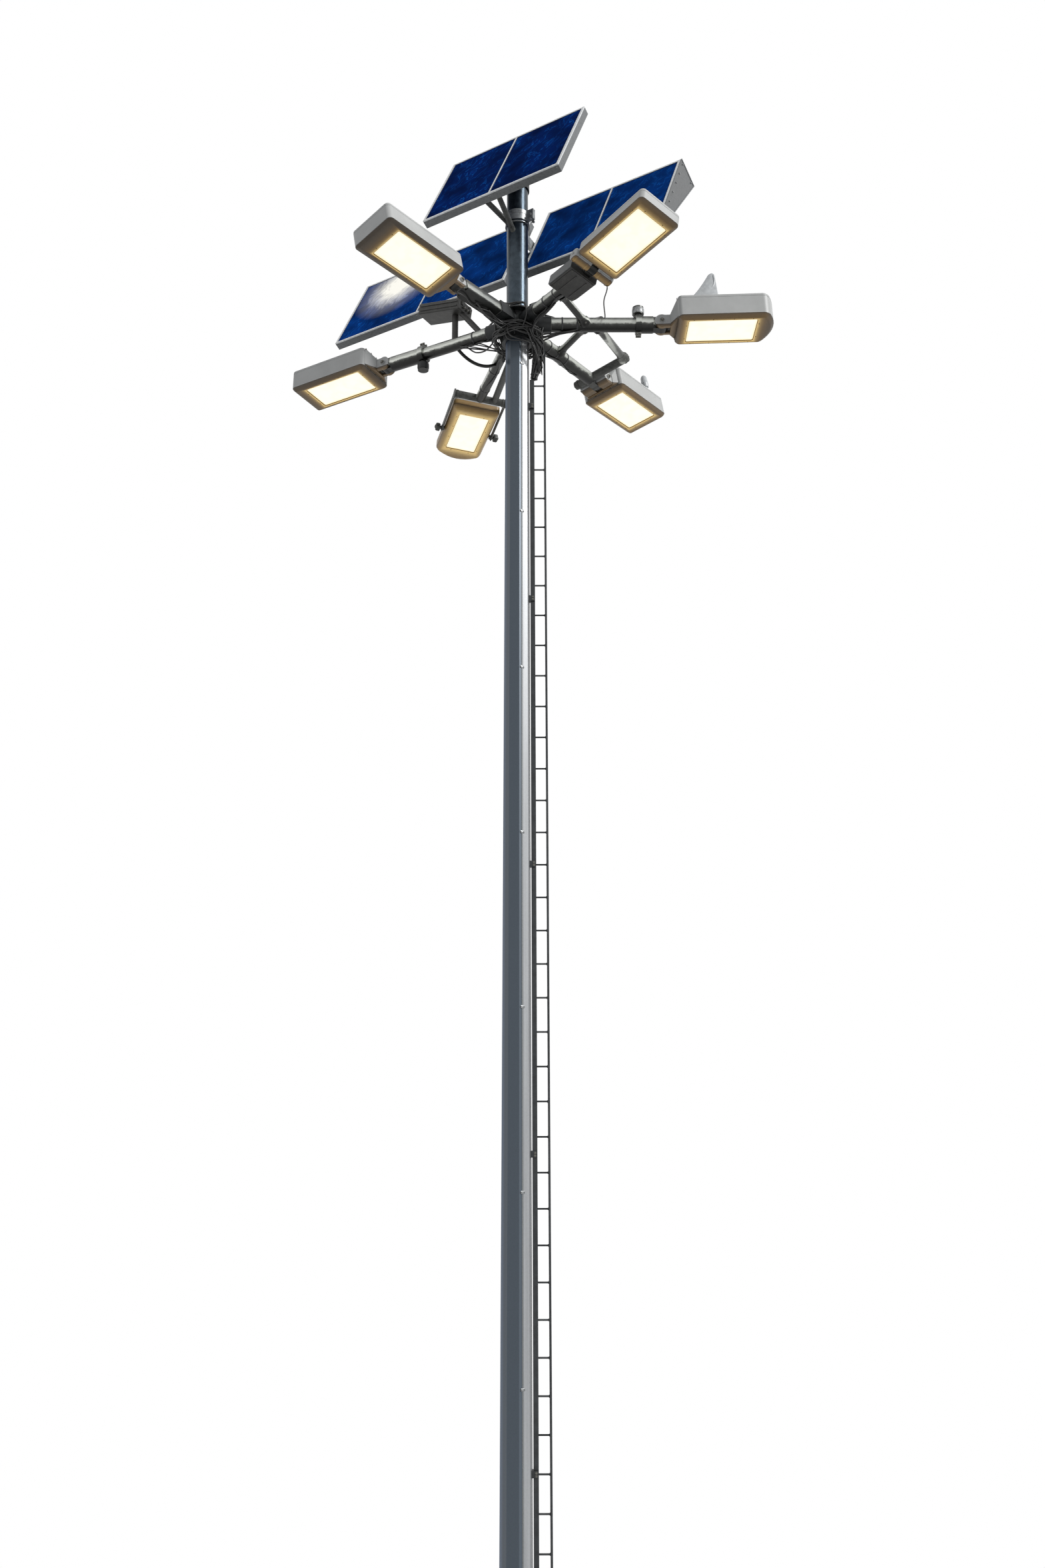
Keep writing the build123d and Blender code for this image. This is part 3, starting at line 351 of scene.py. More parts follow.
def point_values(obj, name, values):
    """Store one number a point on a mesh, for its material to read."""
    attribute = obj.data.attributes.new(name, "FLOAT", "POINT")
    attribute.data.foreach_set("value", np.asarray(values, np.float32).ravel())


# ---------------------------------------------------------------- places
def points_of(node):
    """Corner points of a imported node's mesh."""
    mesh = NODES[node].data
    points = np.empty(len(mesh.vertices) * 3)
    mesh.vertices.foreach_get("co", points)
    return points.reshape(-1, 3)


def main_normal(normals, areas):
    """The direction that most of a set of faces point along, either way."""
    upward = normals * np.where(normals[:, 2:] < 0, -1, 1)
    which = np.unique(np.round(upward, 3), axis=0, return_inverse=True)[1].ravel()
    most = which == np.bincount(which, areas).argmax()
    return unit((upward[most] * areas[most, None]).sum(0))


def axes_of(node):
    """Centre, half sizes and axes of a box-like node. The axes are the main directions of its faces,
    each weighted by its area: the first is the longer, pointing away from the mast, the third is up."""
    mesh = NODES[node].data
    normals = np.empty(len(mesh.polygons) * 3)
    areas = np.empty(len(mesh.polygons))
    mesh.polygons.foreach_get("normal", normals)
    mesh.polygons.foreach_get("area", areas)
    normals = normals.reshape(-1, 3)
    third = main_normal(normals, areas)
    level = np.abs(normals @ third) < 0.1
    first = main_normal(normals[level], areas[level])
    points = points_of(node)
    across = np.cross(third, first)
    if np.ptp(points @ first) < np.ptp(points @ across):
        first = across
    if first @ (points.max(0) + points.min(0)) < 0:
        first = -first
    axes = np.array([first, np.cross(third, first), third])
    low, high = local_box(node, np.zeros(3), axes)
    return ((low + high) / 2) @ axes, (high - low) / 2, axes


def local_box(node, centre, axes):
    """Lowest and highest corner of a node in a piece's own axes."""
    local = (points_of(node) - centre) @ np.asarray(axes).T
    return local.min(0), local.max(0)


def place(centre, axes, local):
    """Points given in a piece's own axes, as points of the tower."""
    return np.asarray(centre) + np.asarray(local, float) @ axes


def head_frame(number):
    """Centre and half sizes of a head's lens, and the head's axes: out, to its left and up."""
    return axes_of("head_%d_lens" % number)


def pivot_of(number):
    """Point on a head's tilt axis, level with its arm's middle."""
    return np.array(JOINTS["head_%d_tilt" % number]["pos_m"])


def arm_axes(number):
    """Axes of an arm: out along it, to its left and up."""
    axis = JOINTS["head_%d_tilt" % number]["axis"]
    out = unit((-axis[1], axis[0], 0))
    return np.array([out, np.cross(UP, out), UP])


def on_arm(number, reach, across=0.0, rise=0.0):
    """Point at a distance from the mast's axis along an arm, and beside and above its middle."""
    return place((0, 0, HUB_Z), arm_axes(number), (reach, across, rise))


def arm_azimuth(number):
    """Azimuth of an arm in degrees."""
    out = arm_axes(number)[0]
    return np.degrees(np.arctan2(out[1], out[0]))


def arm_radius(number):
    """Radius of an arm's tube, or half the height of a box arm, at its inner end."""
    local = (points_of("arm_%d" % number) - (0, 0, HUB_Z)) @ arm_axes(number).T
    inner = local[local[:, 0] < local[:, 0].min() + MM]
    if number == 1:
        return np.abs(inner[:, 2]).max()
    return np.hypot(inner[:, 1], inner[:, 2]).max()


def around_mast(azimuth, radius, height):
    """Point at an azimuth in degrees and a radius from the mast's axis, height counted from the hub."""
    angle = np.radians(azimuth)
    return np.array([radius * np.cos(angle), radius * np.sin(angle), HUB_Z + height])


def band(centre, direction, radius, width, thickness):
    """Strap clamp round a tube: a ring of a given width with softened edges."""
    soft = 0.3 * thickness
    half = width / 2
    outer = radius + thickness
    profile = [(-half, radius, 0), (-half, outer - soft, 0), (soft - half, outer, 0), (half - soft, outer, 0),
               (half, outer - soft, 0), (half, radius, 0)]
    return turned(profile, centre, direction, 32)


def side_of(number):
    """Direction of a head's tilt axis, towards the head's left."""
    return -np.array(JOINTS["head_%d_tilt" % number]["axis"])


def mast_ring(node, height, out):
    """Octagon round a tapered length of the mast, a given distance out from its skin, with five points to a
    side. The corner radius runs evenly between the two ends of the length."""
    points = points_of(node)
    reach = np.hypot(points[:, 0], points[:, 1])
    ends = [points[:, 2].min(), points[:, 2].max()]
    radii = [reach[np.abs(points[:, 2] - end) < MM].max() for end in ends]
    corner = np.interp(height, ends, radii) + out
    angle = np.radians(MAST_TURN + 45 * np.arange(9))
    corners = np.stack([corner * np.cos(angle), corner * np.sin(angle), height + 0 * angle], -1)[:, None]
    share = np.linspace(0, 1, 5, endpoint=False)[None, :, None]
    return (corners[:-1] * (1 - share) + corners[1:] * share).reshape(-1, 3)


# ---------------------------------------------------------------- materials
def add(tree, kind, links=None, stops=(), **settings):
    """Add one node of a kind with its settings. Links gives inputs, by name or number, a socket, a node's
    first output or a plain value, and stops, pairs of a position and a colour, fill a colour ramp."""
    node = tree.nodes.new("ShaderNode" + kind)
    for key, value in settings.items():
        if key in node.bl_rna.properties:
            setattr(node, key, value)
        else:
            node.inputs[key.replace("_", " ")].default_value = value
    for key, value in (links or {}).items():
        if isinstance(value, bpy.types.Node):
            value = value.outputs[0]
        if isinstance(value, bpy.types.NodeSocket):
            tree.links.new(value, node.inputs[key])
        else:
            node.inputs[key].default_value = value
    if stops:
        elements = node.color_ramp.elements
        for _ in stops[2:]:
            elements.new(0.5)
        for element, (position, colour) in zip(elements, stops):
            element.position = position
            element.color = (*colour, 1)
    return node


def new_material(name, **settings):
    """Material with a Principled shader whose constant sockets are given, and its Object coordinates."""
    material = bpy.data.materials.new(name)
    material.use_nodes = True
    tree = material.node_tree
    shader = tree.nodes["Principled BSDF"]
    for key, value in settings.items():
        shader.inputs[key.replace("_", " ")].default_value = value
    return material, tree, shader, add(tree, "TexCoord").outputs["Object"]


def feed(tree, shader, **sources):
    """Link sockets, or first outputs of nodes, into a shader's inputs."""
    for key, source in sources.items():
        if isinstance(source, bpy.types.Node):
            source = source.outputs[0]
        tree.links.new(source, shader.inputs[key.replace("_", " ")])


def along(tree, coordinates, direction, low, high):
    """How far a point lies along a direction: their dot product, mapped to 0 at low and 1 at high."""
    reach = add(tree, "VectorMath", {0: coordinates, 1: direction}, operation="DOT_PRODUCT").outputs["Value"]
    return add(tree, "MapRange", {"Value": reach}, From_Min=low, From_Max=high).outputs["Result"]


def shade(colour, factor):
    """A colour made darker or lighter by a factor."""
    return tuple(min(1.0, channel * factor) for channel in colour)


def mast_zinc(name, light, patina):
    """Hot-dip galvanised plate, dulled outdoors. The side towards the key light is pale, and towards the side away
    from it the colour turns blue-grey: painted shade, standing also for weathered zinc. Rain has drawn both into
    streaks 25 mm wide and over a metre long. Crystal patches about 18 mm wide are just seen, and the faces towards
    -X carry a pale blue painted highlight."""
    material, tree, shader, coordinates = new_material(name, Metallic=0.25, Roughness=0.4)
    level = add(tree, "VectorMath", {0: coordinates, 1: (1, 1, 0)}, operation="MULTIPLY")
    around = add(tree, "VectorMath", {0: level}, operation="NORMALIZE").outputs["Vector"]
    # painted shade: the colour turns blue-grey towards the mast's side away from the key light
    shaded = along(tree, around, (np.cos(SHADED_SIDE), np.sin(SHADED_SIDE), 0), 0.2, 0.8)
    stretched = add(tree, "Mapping", {"Vector": coordinates},
                    Scale=(1 / (25 * MM), 1 / (25 * MM), 0.7 / (1000 * MM)))
    streaks = add(tree, "TexNoise", {"Vector": stretched}, Scale=1.0, Detail=4.0, Roughness=0.6)
    drawn = add(tree, "Math", {0: streaks, 1: 0.5, 2: shaded}, operation="MULTIPLY_ADD")
    tone = add(tree, "ValToRGB", {"Fac": drawn}, [
        (0.15, light), (0.38, shade(light, 0.78)), (0.52, shade(patina, 1.15)), (1.0, patina)])
    crystals = add(tree, "TexVoronoi", {"Vector": coordinates}, Scale=1 / (18 * MM)).outputs["Distance"]
    patches = add(tree, "ValToRGB", {"Fac": crystals}, [(0.1, (0.9, 0.9, 0.9)), (0.7, (1, 1, 1))])
    # painted highlight: the faces towards -X turn pale blue along the mast's edge
    edge = add(tree, "VectorMath", {0: around, 1: (-1, 0, 0)}, operation="DOT_PRODUCT").outputs["Value"]
    edge_highlight = add(tree, "MapRange", {"Value": edge}, From_Min=0.84, From_Max=0.99, To_Max=0.6)
    highlighted = add(tree, "Mix", {0: edge_highlight, 6: tone, 7: (*linear("#76869f"), 1)}, data_type="RGBA").outputs[2]
    zinc = add(tree, "Mix", {0: 0.6, 6: highlighted, 7: patches}, data_type="RGBA", blend_type="MULTIPLY")
    relief = add(tree, "Bump", {"Height": streaks}, Strength=0.1, Distance=1 * MM)
    feed(tree, shader, Base_Color=zinc.outputs[2], Normal=relief)
    return material


def tube_steel(name, colour, metallic, roughness, spread=0.3):
    """Rolled steel tube, galvanised and darkened by weather: it mirrors its surroundings softly, with dull
    blotches about 60 mm wide, scratches a few millimetres wide and a faint mill skin."""
    material, tree, shader, coordinates = new_material(name, Metallic=metallic)
    blotches = add(tree, "TexNoise", {"Vector": coordinates}, Scale=1 / (60 * MM), Detail=6.0, Roughness=0.65)
    tone = add(tree, "ValToRGB", {"Fac": blotches}, [
        (0.3, shade(colour, 1 - spread)), (0.5, colour), (0.72, shade(colour, 1 + spread))])
    gloss = add(tree, "MapRange", {"Value": blotches}, From_Min=0.3, From_Max=0.7,
                To_Min=roughness - 0.06, To_Max=roughness + 0.08)
    grit = add(tree, "TexNoise", {"Vector": coordinates}, Scale=1 / (5 * MM), Detail=2.0)
    relief = add(tree, "Bump", {"Height": grit}, Strength=0.12, Distance=1 * MM)
    feed(tree, shader, Base_Color=tone, Roughness=gloss, Normal=relief)
    return material


def arm_steel(name, colour, radius):
    """Galvanised tube with dull blotches about 70 mm wide, and painted light over its height: painted shade makes
    the underside near black, a painted highlight makes the flanks bright, and the back is dull. Heights run over
    the tube's own radius from the arms' level."""
    material, tree, shader, coordinates = new_material(name, Metallic=0.55, Roughness=0.34)
    blotches = add(tree, "TexNoise", {"Vector": coordinates}, Scale=1 / (70 * MM), Detail=7.0, Roughness=0.68)
    height = along(tree, coordinates, UP, HUB_Z - radius, HUB_Z + 1.6 * radius)
    uneven = add(tree, "Math", {0: blotches, 1: 0.22, 2: height}, operation="MULTIPLY_ADD")
    # painted shade below and a painted highlight along the flanks, as shares of the arm colour over the height
    shade_and_highlight = ((0.1, 0.1), (0.26, 0.3), (0.34, 1), (0.41, 8), (0.6, 6), (0.72, 1.8), (0.88, 1))
    tone = add(tree, "ValToRGB", {"Fac": uneven}, [(place, shade(colour, light)) for place, light in shade_and_highlight])
    relief = add(tree, "Bump", {"Height": blotches}, Strength=0.1, Distance=1 * MM)
    feed(tree, shader, Base_Color=tone, Normal=relief)
    return material


def casting_enamel(name, colour, glow, place_of_light=None):
    """Powder-coated aluminium casting: an even grey with a fine orange-peel skin about 3 mm wide, drawn as 6 mm so
    that it shows. Where the lamp lights its underside, that light is painted in: the colour turns from dark brown
    at the rim through tan to gold beside the glass, and the lit parts glow a little with emission. The light is
    placed by the piece's own glow attribute, or by a direction and two heights."""
    material, tree, shader, coordinates = new_material(name, Roughness=0.42, Emission_Strength=0.5)
    cloud = add(tree, "TexNoise", {"Vector": coordinates}, Scale=1 / (150 * MM), Detail=4.0)
    grey = add(tree, "ValToRGB", {"Fac": cloud}, [(0.3, shade(colour, 0.9)), (0.7, shade(colour, 1.02))])
    if place_of_light:
        lit = along(tree, coordinates, *place_of_light)
    else:
        lit = add(tree, "Attribute", attribute_name="glow").outputs["Fac"]
    rough = add(tree, "TexNoise", {"Vector": coordinates}, Scale=1 / (45 * MM), Detail=5.0, Roughness=0.6)
    uneven = add(tree, "Math", {0: rough, 1: 0.1, 2: lit}, operation="MULTIPLY_ADD")
    gold = add(tree, "ValToRGB", {"Fac": uneven}, [
        (0.06, linear("#3a3128")), (0.16, linear("#55493a")), (0.34, linear("#7a6342")),
        (0.6, linear("#a07f4c")), (0.9, glow)])
    share = add(tree, "MapRange", {"Value": lit}, From_Min=0.01, From_Max=0.05)
    tone = add(tree, "Mix", {0: share, 6: grey, 7: gold}, data_type="RGBA").outputs[2]
    # painted light: where the lamp's light is painted, the casting glows with emission
    shine = add(tree, "ValToRGB", {"Fac": uneven}, [
        (0.45, (0, 0, 0)), (0.75, shade(glow, 0.25)), (1.0, glow)])
    skin = add(tree, "TexNoise", {"Vector": coordinates}, Scale=1 / (6 * MM), Detail=1.0)
    relief = add(tree, "Bump", {"Height": skin}, Strength=0.06, Distance=1 * MM)
    feed(tree, shader, Base_Color=tone, Emission_Color=shine, Normal=relief)
    return material


def lit_lens(name, colour):
    """Frosted toughened glass with the lamp on behind it: cream white, with faint clouds from the diffuser
    about 110 mm wide, and a warm line where it meets its frame."""
    material, tree, shader, coordinates = new_material(
        name, Roughness=0.4, Base_Color=(*linear("#61615d"), 1), Emission_Strength=1.0)
    edge = add(tree, "Attribute", attribute_name="edge").outputs["Fac"]
    cloud = add(tree, "TexNoise", {"Vector": coordinates}, Scale=1 / (110 * MM), Detail=3.0)
    warm = add(tree, "ValToRGB", {"Fac": edge}, [
        (0.0, linear("#d9a854")), (0.08, linear("#f8e2ab")), (0.2, linear("#fff4d6")), (0.5, colour)])
    pale = add(tree, "ValToRGB", {"Fac": cloud}, [(0.38, linear("#fff5df")), (0.6, (1, 1, 1))])
    light = add(tree, "Mix", {0: 0.3, 6: warm, 7: pale}, data_type="RGBA", blend_type="MULTIPLY")
    feed(tree, shader, Emission_Color=light.outputs[2])
    return material


def silicon_glass(name, colour, axes, glare):
    """Polycrystalline silicon under low-iron glass: deep navy, with brighter blue strokes where crystals, 38 mm
    wide and 150 mm long, face the light, leaning off the slope. A glare is None, or a point and a distance: round
    it the light of the lamp beside the glass is painted as a near-white patch, which the strokes brush, which
    glows a little with emission, and which fades over the distance."""
    material, tree, shader, coordinates = new_material(name, Roughness=0.6, Specular_IOR_Level=0.002)
    first, second = (add(tree, "VectorMath", {0: coordinates, 1: axis}, operation="DOT_PRODUCT")
                     for axis in axes[:2])
    own = add(tree, "CombineXYZ", {0: first.outputs["Value"], 1: second.outputs["Value"]})
    leaning = add(tree, "Mapping", {"Vector": own}, Rotation=(0, 0, np.radians(24)))
    warp = add(tree, "TexNoise", {"Vector": own}, Scale=1 / (190 * MM), Detail=1.0).outputs["Color"]
    bent = add(tree, "VectorMath", {0: warp, 1: (0.22, 0.22, 0.0), 2: leaning}, operation="MULTIPLY_ADD")
    drawn = add(tree, "Mapping", {"Vector": bent}, Scale=(1 / (38 * MM), 1 / (150 * MM), 1.0))
    strokes = add(tree, "TexNoise", {"Vector": drawn}, Scale=1.0, Detail=2.0, Roughness=0.55)
    clouds = add(tree, "TexNoise", {"Vector": own}, Scale=1 / (300 * MM), Detail=2.0)
    base = add(tree, "ValToRGB", {"Fac": clouds}, [(0.3, shade(colour, 0.45)), (0.7, shade(colour, 1.25))])
    bright = add(tree, "ValToRGB", {"Fac": strokes}, [
        (0.54, (0, 0, 0)), (0.585, linear("#176cc6")), (0.62, (0, 0, 0)), (0.7, linear("#0a387e"))])
    lively = add(tree, "Mix", {0: 0.7, 6: base, 7: bright}, data_type="RGBA", blend_type="ADD").outputs[2]
    share = add(tree, "MapRange", {"Value": clouds}, From_Min=0.36, From_Max=0.62)
    cells = add(tree, "Mix", {0: share, 6: base, 7: lively}, data_type="RGBA").outputs[2]
    if glare:
        point, fade = glare
        # painted light: the near-white of the lamp's light on the glass
        haze = (*linear("#fbf8ee"), 1)
        away = add(tree, "VectorMath", {0: coordinates, 1: point}, operation="DISTANCE").outputs["Value"]
        near = add(tree, "MapRange", {"Value": away}, From_Min=fade, From_Max=0.0, To_Max=0.9)
        brushed = add(tree, "Math", {0: near, 1: strokes, 2: near}, operation="MULTIPLY_ADD")
        film = add(tree, "ValToRGB", {"Fac": brushed}, [
            (0.1, (0, 0, 0)), (0.45, (0.12, 0.12, 0.12)), (0.75, (0.5, 0.5, 0.5)), (1.0, (1, 1, 1))])
        cells = add(tree, "Mix", {0: film, 6: cells, 7: haze}, data_type="RGBA").outputs[2]
        # painted light: the patch glows a little with emission
        shine = add(tree, "Mix", {0: 1.0, 6: film, 7: haze}, data_type="RGBA", blend_type="MULTIPLY")
        feed(tree, shader, Emission_Color=shine.outputs[2])
        shader.inputs["Emission Strength"].default_value = 0.55
    relief = add(tree, "Bump", {"Height": strokes}, Strength=0.15, Distance=1 * MM)
    feed(tree, shader, Base_Color=cells, Normal=relief)
    return material


def anodised_aluminium(name, colour, face=None):
    """Clear anodised extrusion: satin grey with drawing lines and dirty runs about 25 mm wide. Where a face is
    given, as a direction and two distances along it, the lip at the glass carries a pale painted highlight."""
    material, tree, shader, coordinates = new_material(name, Metallic=0.2, Roughness=0.36)
    lines = add(tree, "TexNoise", {"Vector": coordinates}, Scale=1 / (25 * MM), Detail=6.0, Roughness=0.7)
    tone = add(tree, "ValToRGB", {"Fac": lines}, [
        (0.3, shade(colour, 0.7)), (0.5, colour), (0.7, shade(colour, 1.12))])
    if face:
        # painted highlight: a pale line along the lip at the glass
        lip_highlight = along(tree, coordinates, *face)
        pale = add(tree, "ValToRGB", {"Fac": lines}, [(0.3, linear("#c4c8ca")), (0.6, linear("#eceded"))])
        tone = add(tree, "Mix", {0: lip_highlight, 6: tone, 7: pale}, data_type="RGBA").outputs[2]
    relief = add(tree, "Bump", {"Height": lines}, Strength=0.06, Distance=1 * MM)
    feed(tree, shader, Base_Color=tone, Normal=relief)
    return material


def box_enamel(name, colour):
    """Sheet steel in dark enamel: flat and dull, dusty in patches of about 80 mm, with chalky scuffs."""
    material, tree, shader, coordinates = new_material(name, Roughness=0.5)
    haze = add(tree, "TexNoise", {"Vector": coordinates}, Scale=1 / (80 * MM), Detail=8.0, Roughness=0.68)
    tone = add(tree, "ValToRGB", {"Fac": haze}, [
        (0.3, shade(colour, 0.35)), (0.55, shade(colour, 0.8)), (0.72, shade(colour, 1.8))])
    relief = add(tree, "Bump", {"Height": haze}, Strength=0.08, Distance=1 * MM)
    feed(tree, shader, Base_Color=tone, Normal=relief)
    return material


def plain_finish(name, colour, roughness, metallic, grain, depth):
    """Moulded, plated or painted surface with a mottle of a given grain in millimetres, which makes the
    colour darker and lighter by a given share."""
    material, tree, shader, coordinates = new_material(name, Roughness=roughness, Metallic=metallic)
    mottle = add(tree, "TexNoise", {"Vector": coordinates}, Scale=1 / (grain * MM), Detail=3.0)
    tone = add(tree, "ValToRGB", {"Fac": mottle}, [
        (0.3, shade(colour, 1 - depth)), (0.7, shade(colour, 1 + depth))])
    relief = add(tree, "Bump", {"Height": mottle}, Strength=0.1, Distance=1 * MM)
    feed(tree, shader, Base_Color=tone, Normal=relief)
    return material


# Each plain finish has a name, a colour (a property or a code), a roughness, how metallic it is, its
# grain in mm and how deep its mottle goes.
PLAIN_FINISHES = {
    # brushed paint on steel: satin black with slow, dull and rusty patches
    "ladder": ("black_ladder_paint", "ladder", 0.45, 0.1, 40, 0.4),
    # zinc-plated fasteners: mid grey with small gleams
    "bolts": ("zinc_plated_steel", "#8b8d8e", 0.38, 0.5, 12, 0.15),
    # the same fasteners after years outdoors: browner, darker and blotched
    "dark_bolts": ("weathered_bolt_steel", "#6b6a64", 0.42, 0.4, 8, 0.4),
    # weld beads brushed with cold zinc: matt grey with a coarse grain
    "weld": ("brushed_zinc_weld", "#7c7f80", 0.55, 0.2, 4, 0.3),
    # extruded silicone beside a lit lens: brown rubber, its brown being the lamp's warm light painted in
    "gasket": ("silicone_gasket_rubber", "#6a4f2a", 0.6, 0.0, 6, 0.2),
    # extruded rubber: matt black
    "gasket_black": ("black_glazing_rubber", "#15171b", 0.6, 0.0, 6, 0.2),
    # extruded rubber sheath: black, greyed in lengths where it is dusty
    "cables": ("black_cable_rubber", "cables", 0.45, 0.0, 20, 0.5),
    # cast iron with its sand skin: pale grey and uneven
    "knob": ("cast_grey_knob_iron", "#9fa1a1", 0.4, 0.3, 20, 0.4),
    # moulded ABS: near black with a fine moulded grain
    "abs": ("black_abs", "#232426", 0.4, 0.0, 3, 0.15),
    # laminated polymer film: even off-white
    "backsheet": ("white_backsheet_film", "#d4d6d6", 0.5, 0.0, 60, 0.05),
    # moulded polycarbonate, frosted by the sun: pale grey with soft clouds
    "clear": ("frosted_polycarbonate", "#c9cccd", 0.3, 0.0, 30, 0.12),
}
MATERIALS = {}


def materials():
    """Every finish of the tower, made once and kept by name."""
    if MATERIALS:
        return MATERIALS
    group = bpy.context.scene.tower_colours
    colours = {name: tuple(getattr(group, name)) for name in TowerColours.__annotations__}
    for key, (name, code, *values) in PLAIN_FINISHES.items():
        colour = linear(code) if code.startswith("#") else colours[code]
        MATERIALS[key] = plain_finish(name, colour, *values)
    arm, frames, glow = colours["arm"], colours["frames"], colours["glow"]
    MATERIALS["mast"] = mast_zinc("dull_galvanised_steel", colours["zinc"], colours["patina"])
    # rolled tube whose zinc has darkened evenly: a soft, dark mirror of the pale surround
    MATERIALS["tube"] = tube_steel("dark_rolled_steel", colours["tube"], 0.95, 0.33)
    # nearly black zinc with strong blotches
    MATERIALS["dark"] = tube_steel("weathered_zinc_steel", colours["hub"], 0.3, 0.5, 0.6)
    # the same, less dirty: dark satin grey with strong blotches
    MATERIALS["brace"] = tube_steel("weathered_brace_steel", shade(arm, 0.8), 0.35, 0.5, 0.6)
    # younger zinc, still pale: a soft gleam with grey blotches
    MATERIALS["clamp"] = tube_steel("bright_clamp_zinc", linear("#9a9d9d"), 0.5, 0.4, 0.45)
    # the arms and the thinner stays have one finish, its painted shade and highlight drawn over their own radius
    MATERIALS["arm"] = arm_steel("galvanised_tube_steel", arm, 70 * MM)
    MATERIALS["stay"] = arm_steel("weathered_stay_steel", arm, 38 * MM)
    MATERIALS["casting"] = casting_enamel("powder_coated_aluminium", colours["casting"], glow)
    MATERIALS["lens"] = lit_lens("frosted_toughened_glass", colours["lens"])
    # folded sheet of the same aluminium as the frames: darker, with the same runs
    MATERIALS["plates"] = anodised_aluminium("grey_sheet_aluminium", shade(frames, 0.2))
    MATERIALS["boxes"] = box_enamel("dark_sheet_enamel", colours["boxes"])
    for number, (above, below) in COVER_LIGHT.items():
        centre, _, axes = head_frame(number)
        up = axes[2] @ centre
        MATERIALS["head_%d" % number] = casting_enamel(
            "powder_coated_cover_%d" % number, colours["casting"], shade(glow, 0.7),
            (axes[2], up + above * MM, up - below * MM))
    for name in ARRAYS:
        axes = axes_of(name + "_array_glass")[2]
        face = (points_of(name + "_array_frame") @ axes[2]).max()
        # each frame's lip at the glass carries a painted highlight
        MATERIALS[name + "_frame"] = anodised_aluminium(
            name + "_frame_aluminium", shade(frames, 0.27), (axes[2], face - 14 * MM, face - 9 * MM))
        # the lower arrays take the brighter copy of the cells, with a painted reflection
        cells = colours["cells" if name == "upper" else "lower_cells"]
        MATERIALS[name + "_glass"] = silicon_glass(name + "_silicon_glass", cells, axes, GLARES.get(name))
    return MATERIALS


# ---------------------------------------------------------------- operators
def finish_of(name):
    """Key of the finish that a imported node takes: that of the longest listed start of its name."""
    starts = [start for start in FINISHES if name.startswith(start)]
    if not starts:
        raise RuntimeError("no finish is listed for the node " + name)
    return FINISHES[max(starts, key=len)]


class TOWER_OT_finishes(bpy.types.Operator):
    """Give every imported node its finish"""
    bl_idname = "tower.finishes"
    bl_label = "Finishes"

    def execute(self, context):
        for name, node in NODES.items():
            node.data.materials.clear()
            node.data.materials.append(materials()[finish_of(name)])
        return {"FINISHED"}


class TOWER_OT_castings(bpy.types.Operator):
    """Model the castings, lenses and gaskets of the six floodlight heads"""
    bl_idname = "tower.castings"
    bl_label = "Head castings"

    def execute(self, context):
        sizes = context.scene.tower_sizes
        for number in HEADS:
            head_shell(number)
            head_lens(number)
            head_gasket(number, sizes.screw)
            head_ribs(number, sizes.rib)
        return {"FINISHED"}


def casting_sizes(number):
    """Lowest and highest corner of a casting in its head's axes, from the lens's middle, the height of
    its rim, and where its outer end would stand without its bow."""
    centre, _, axes = head_frame(number)
    node = "head_%d_housing" % number
    low, high = local_box(node, centre, axes)
    local = (points_of(node) - centre) @ axes.T
    rim = local[np.abs(local[:, 1]) > high[1] - MM][:, 2].min()
    return low, high, rim, high[0] - END_BOWS.get(number, 0)


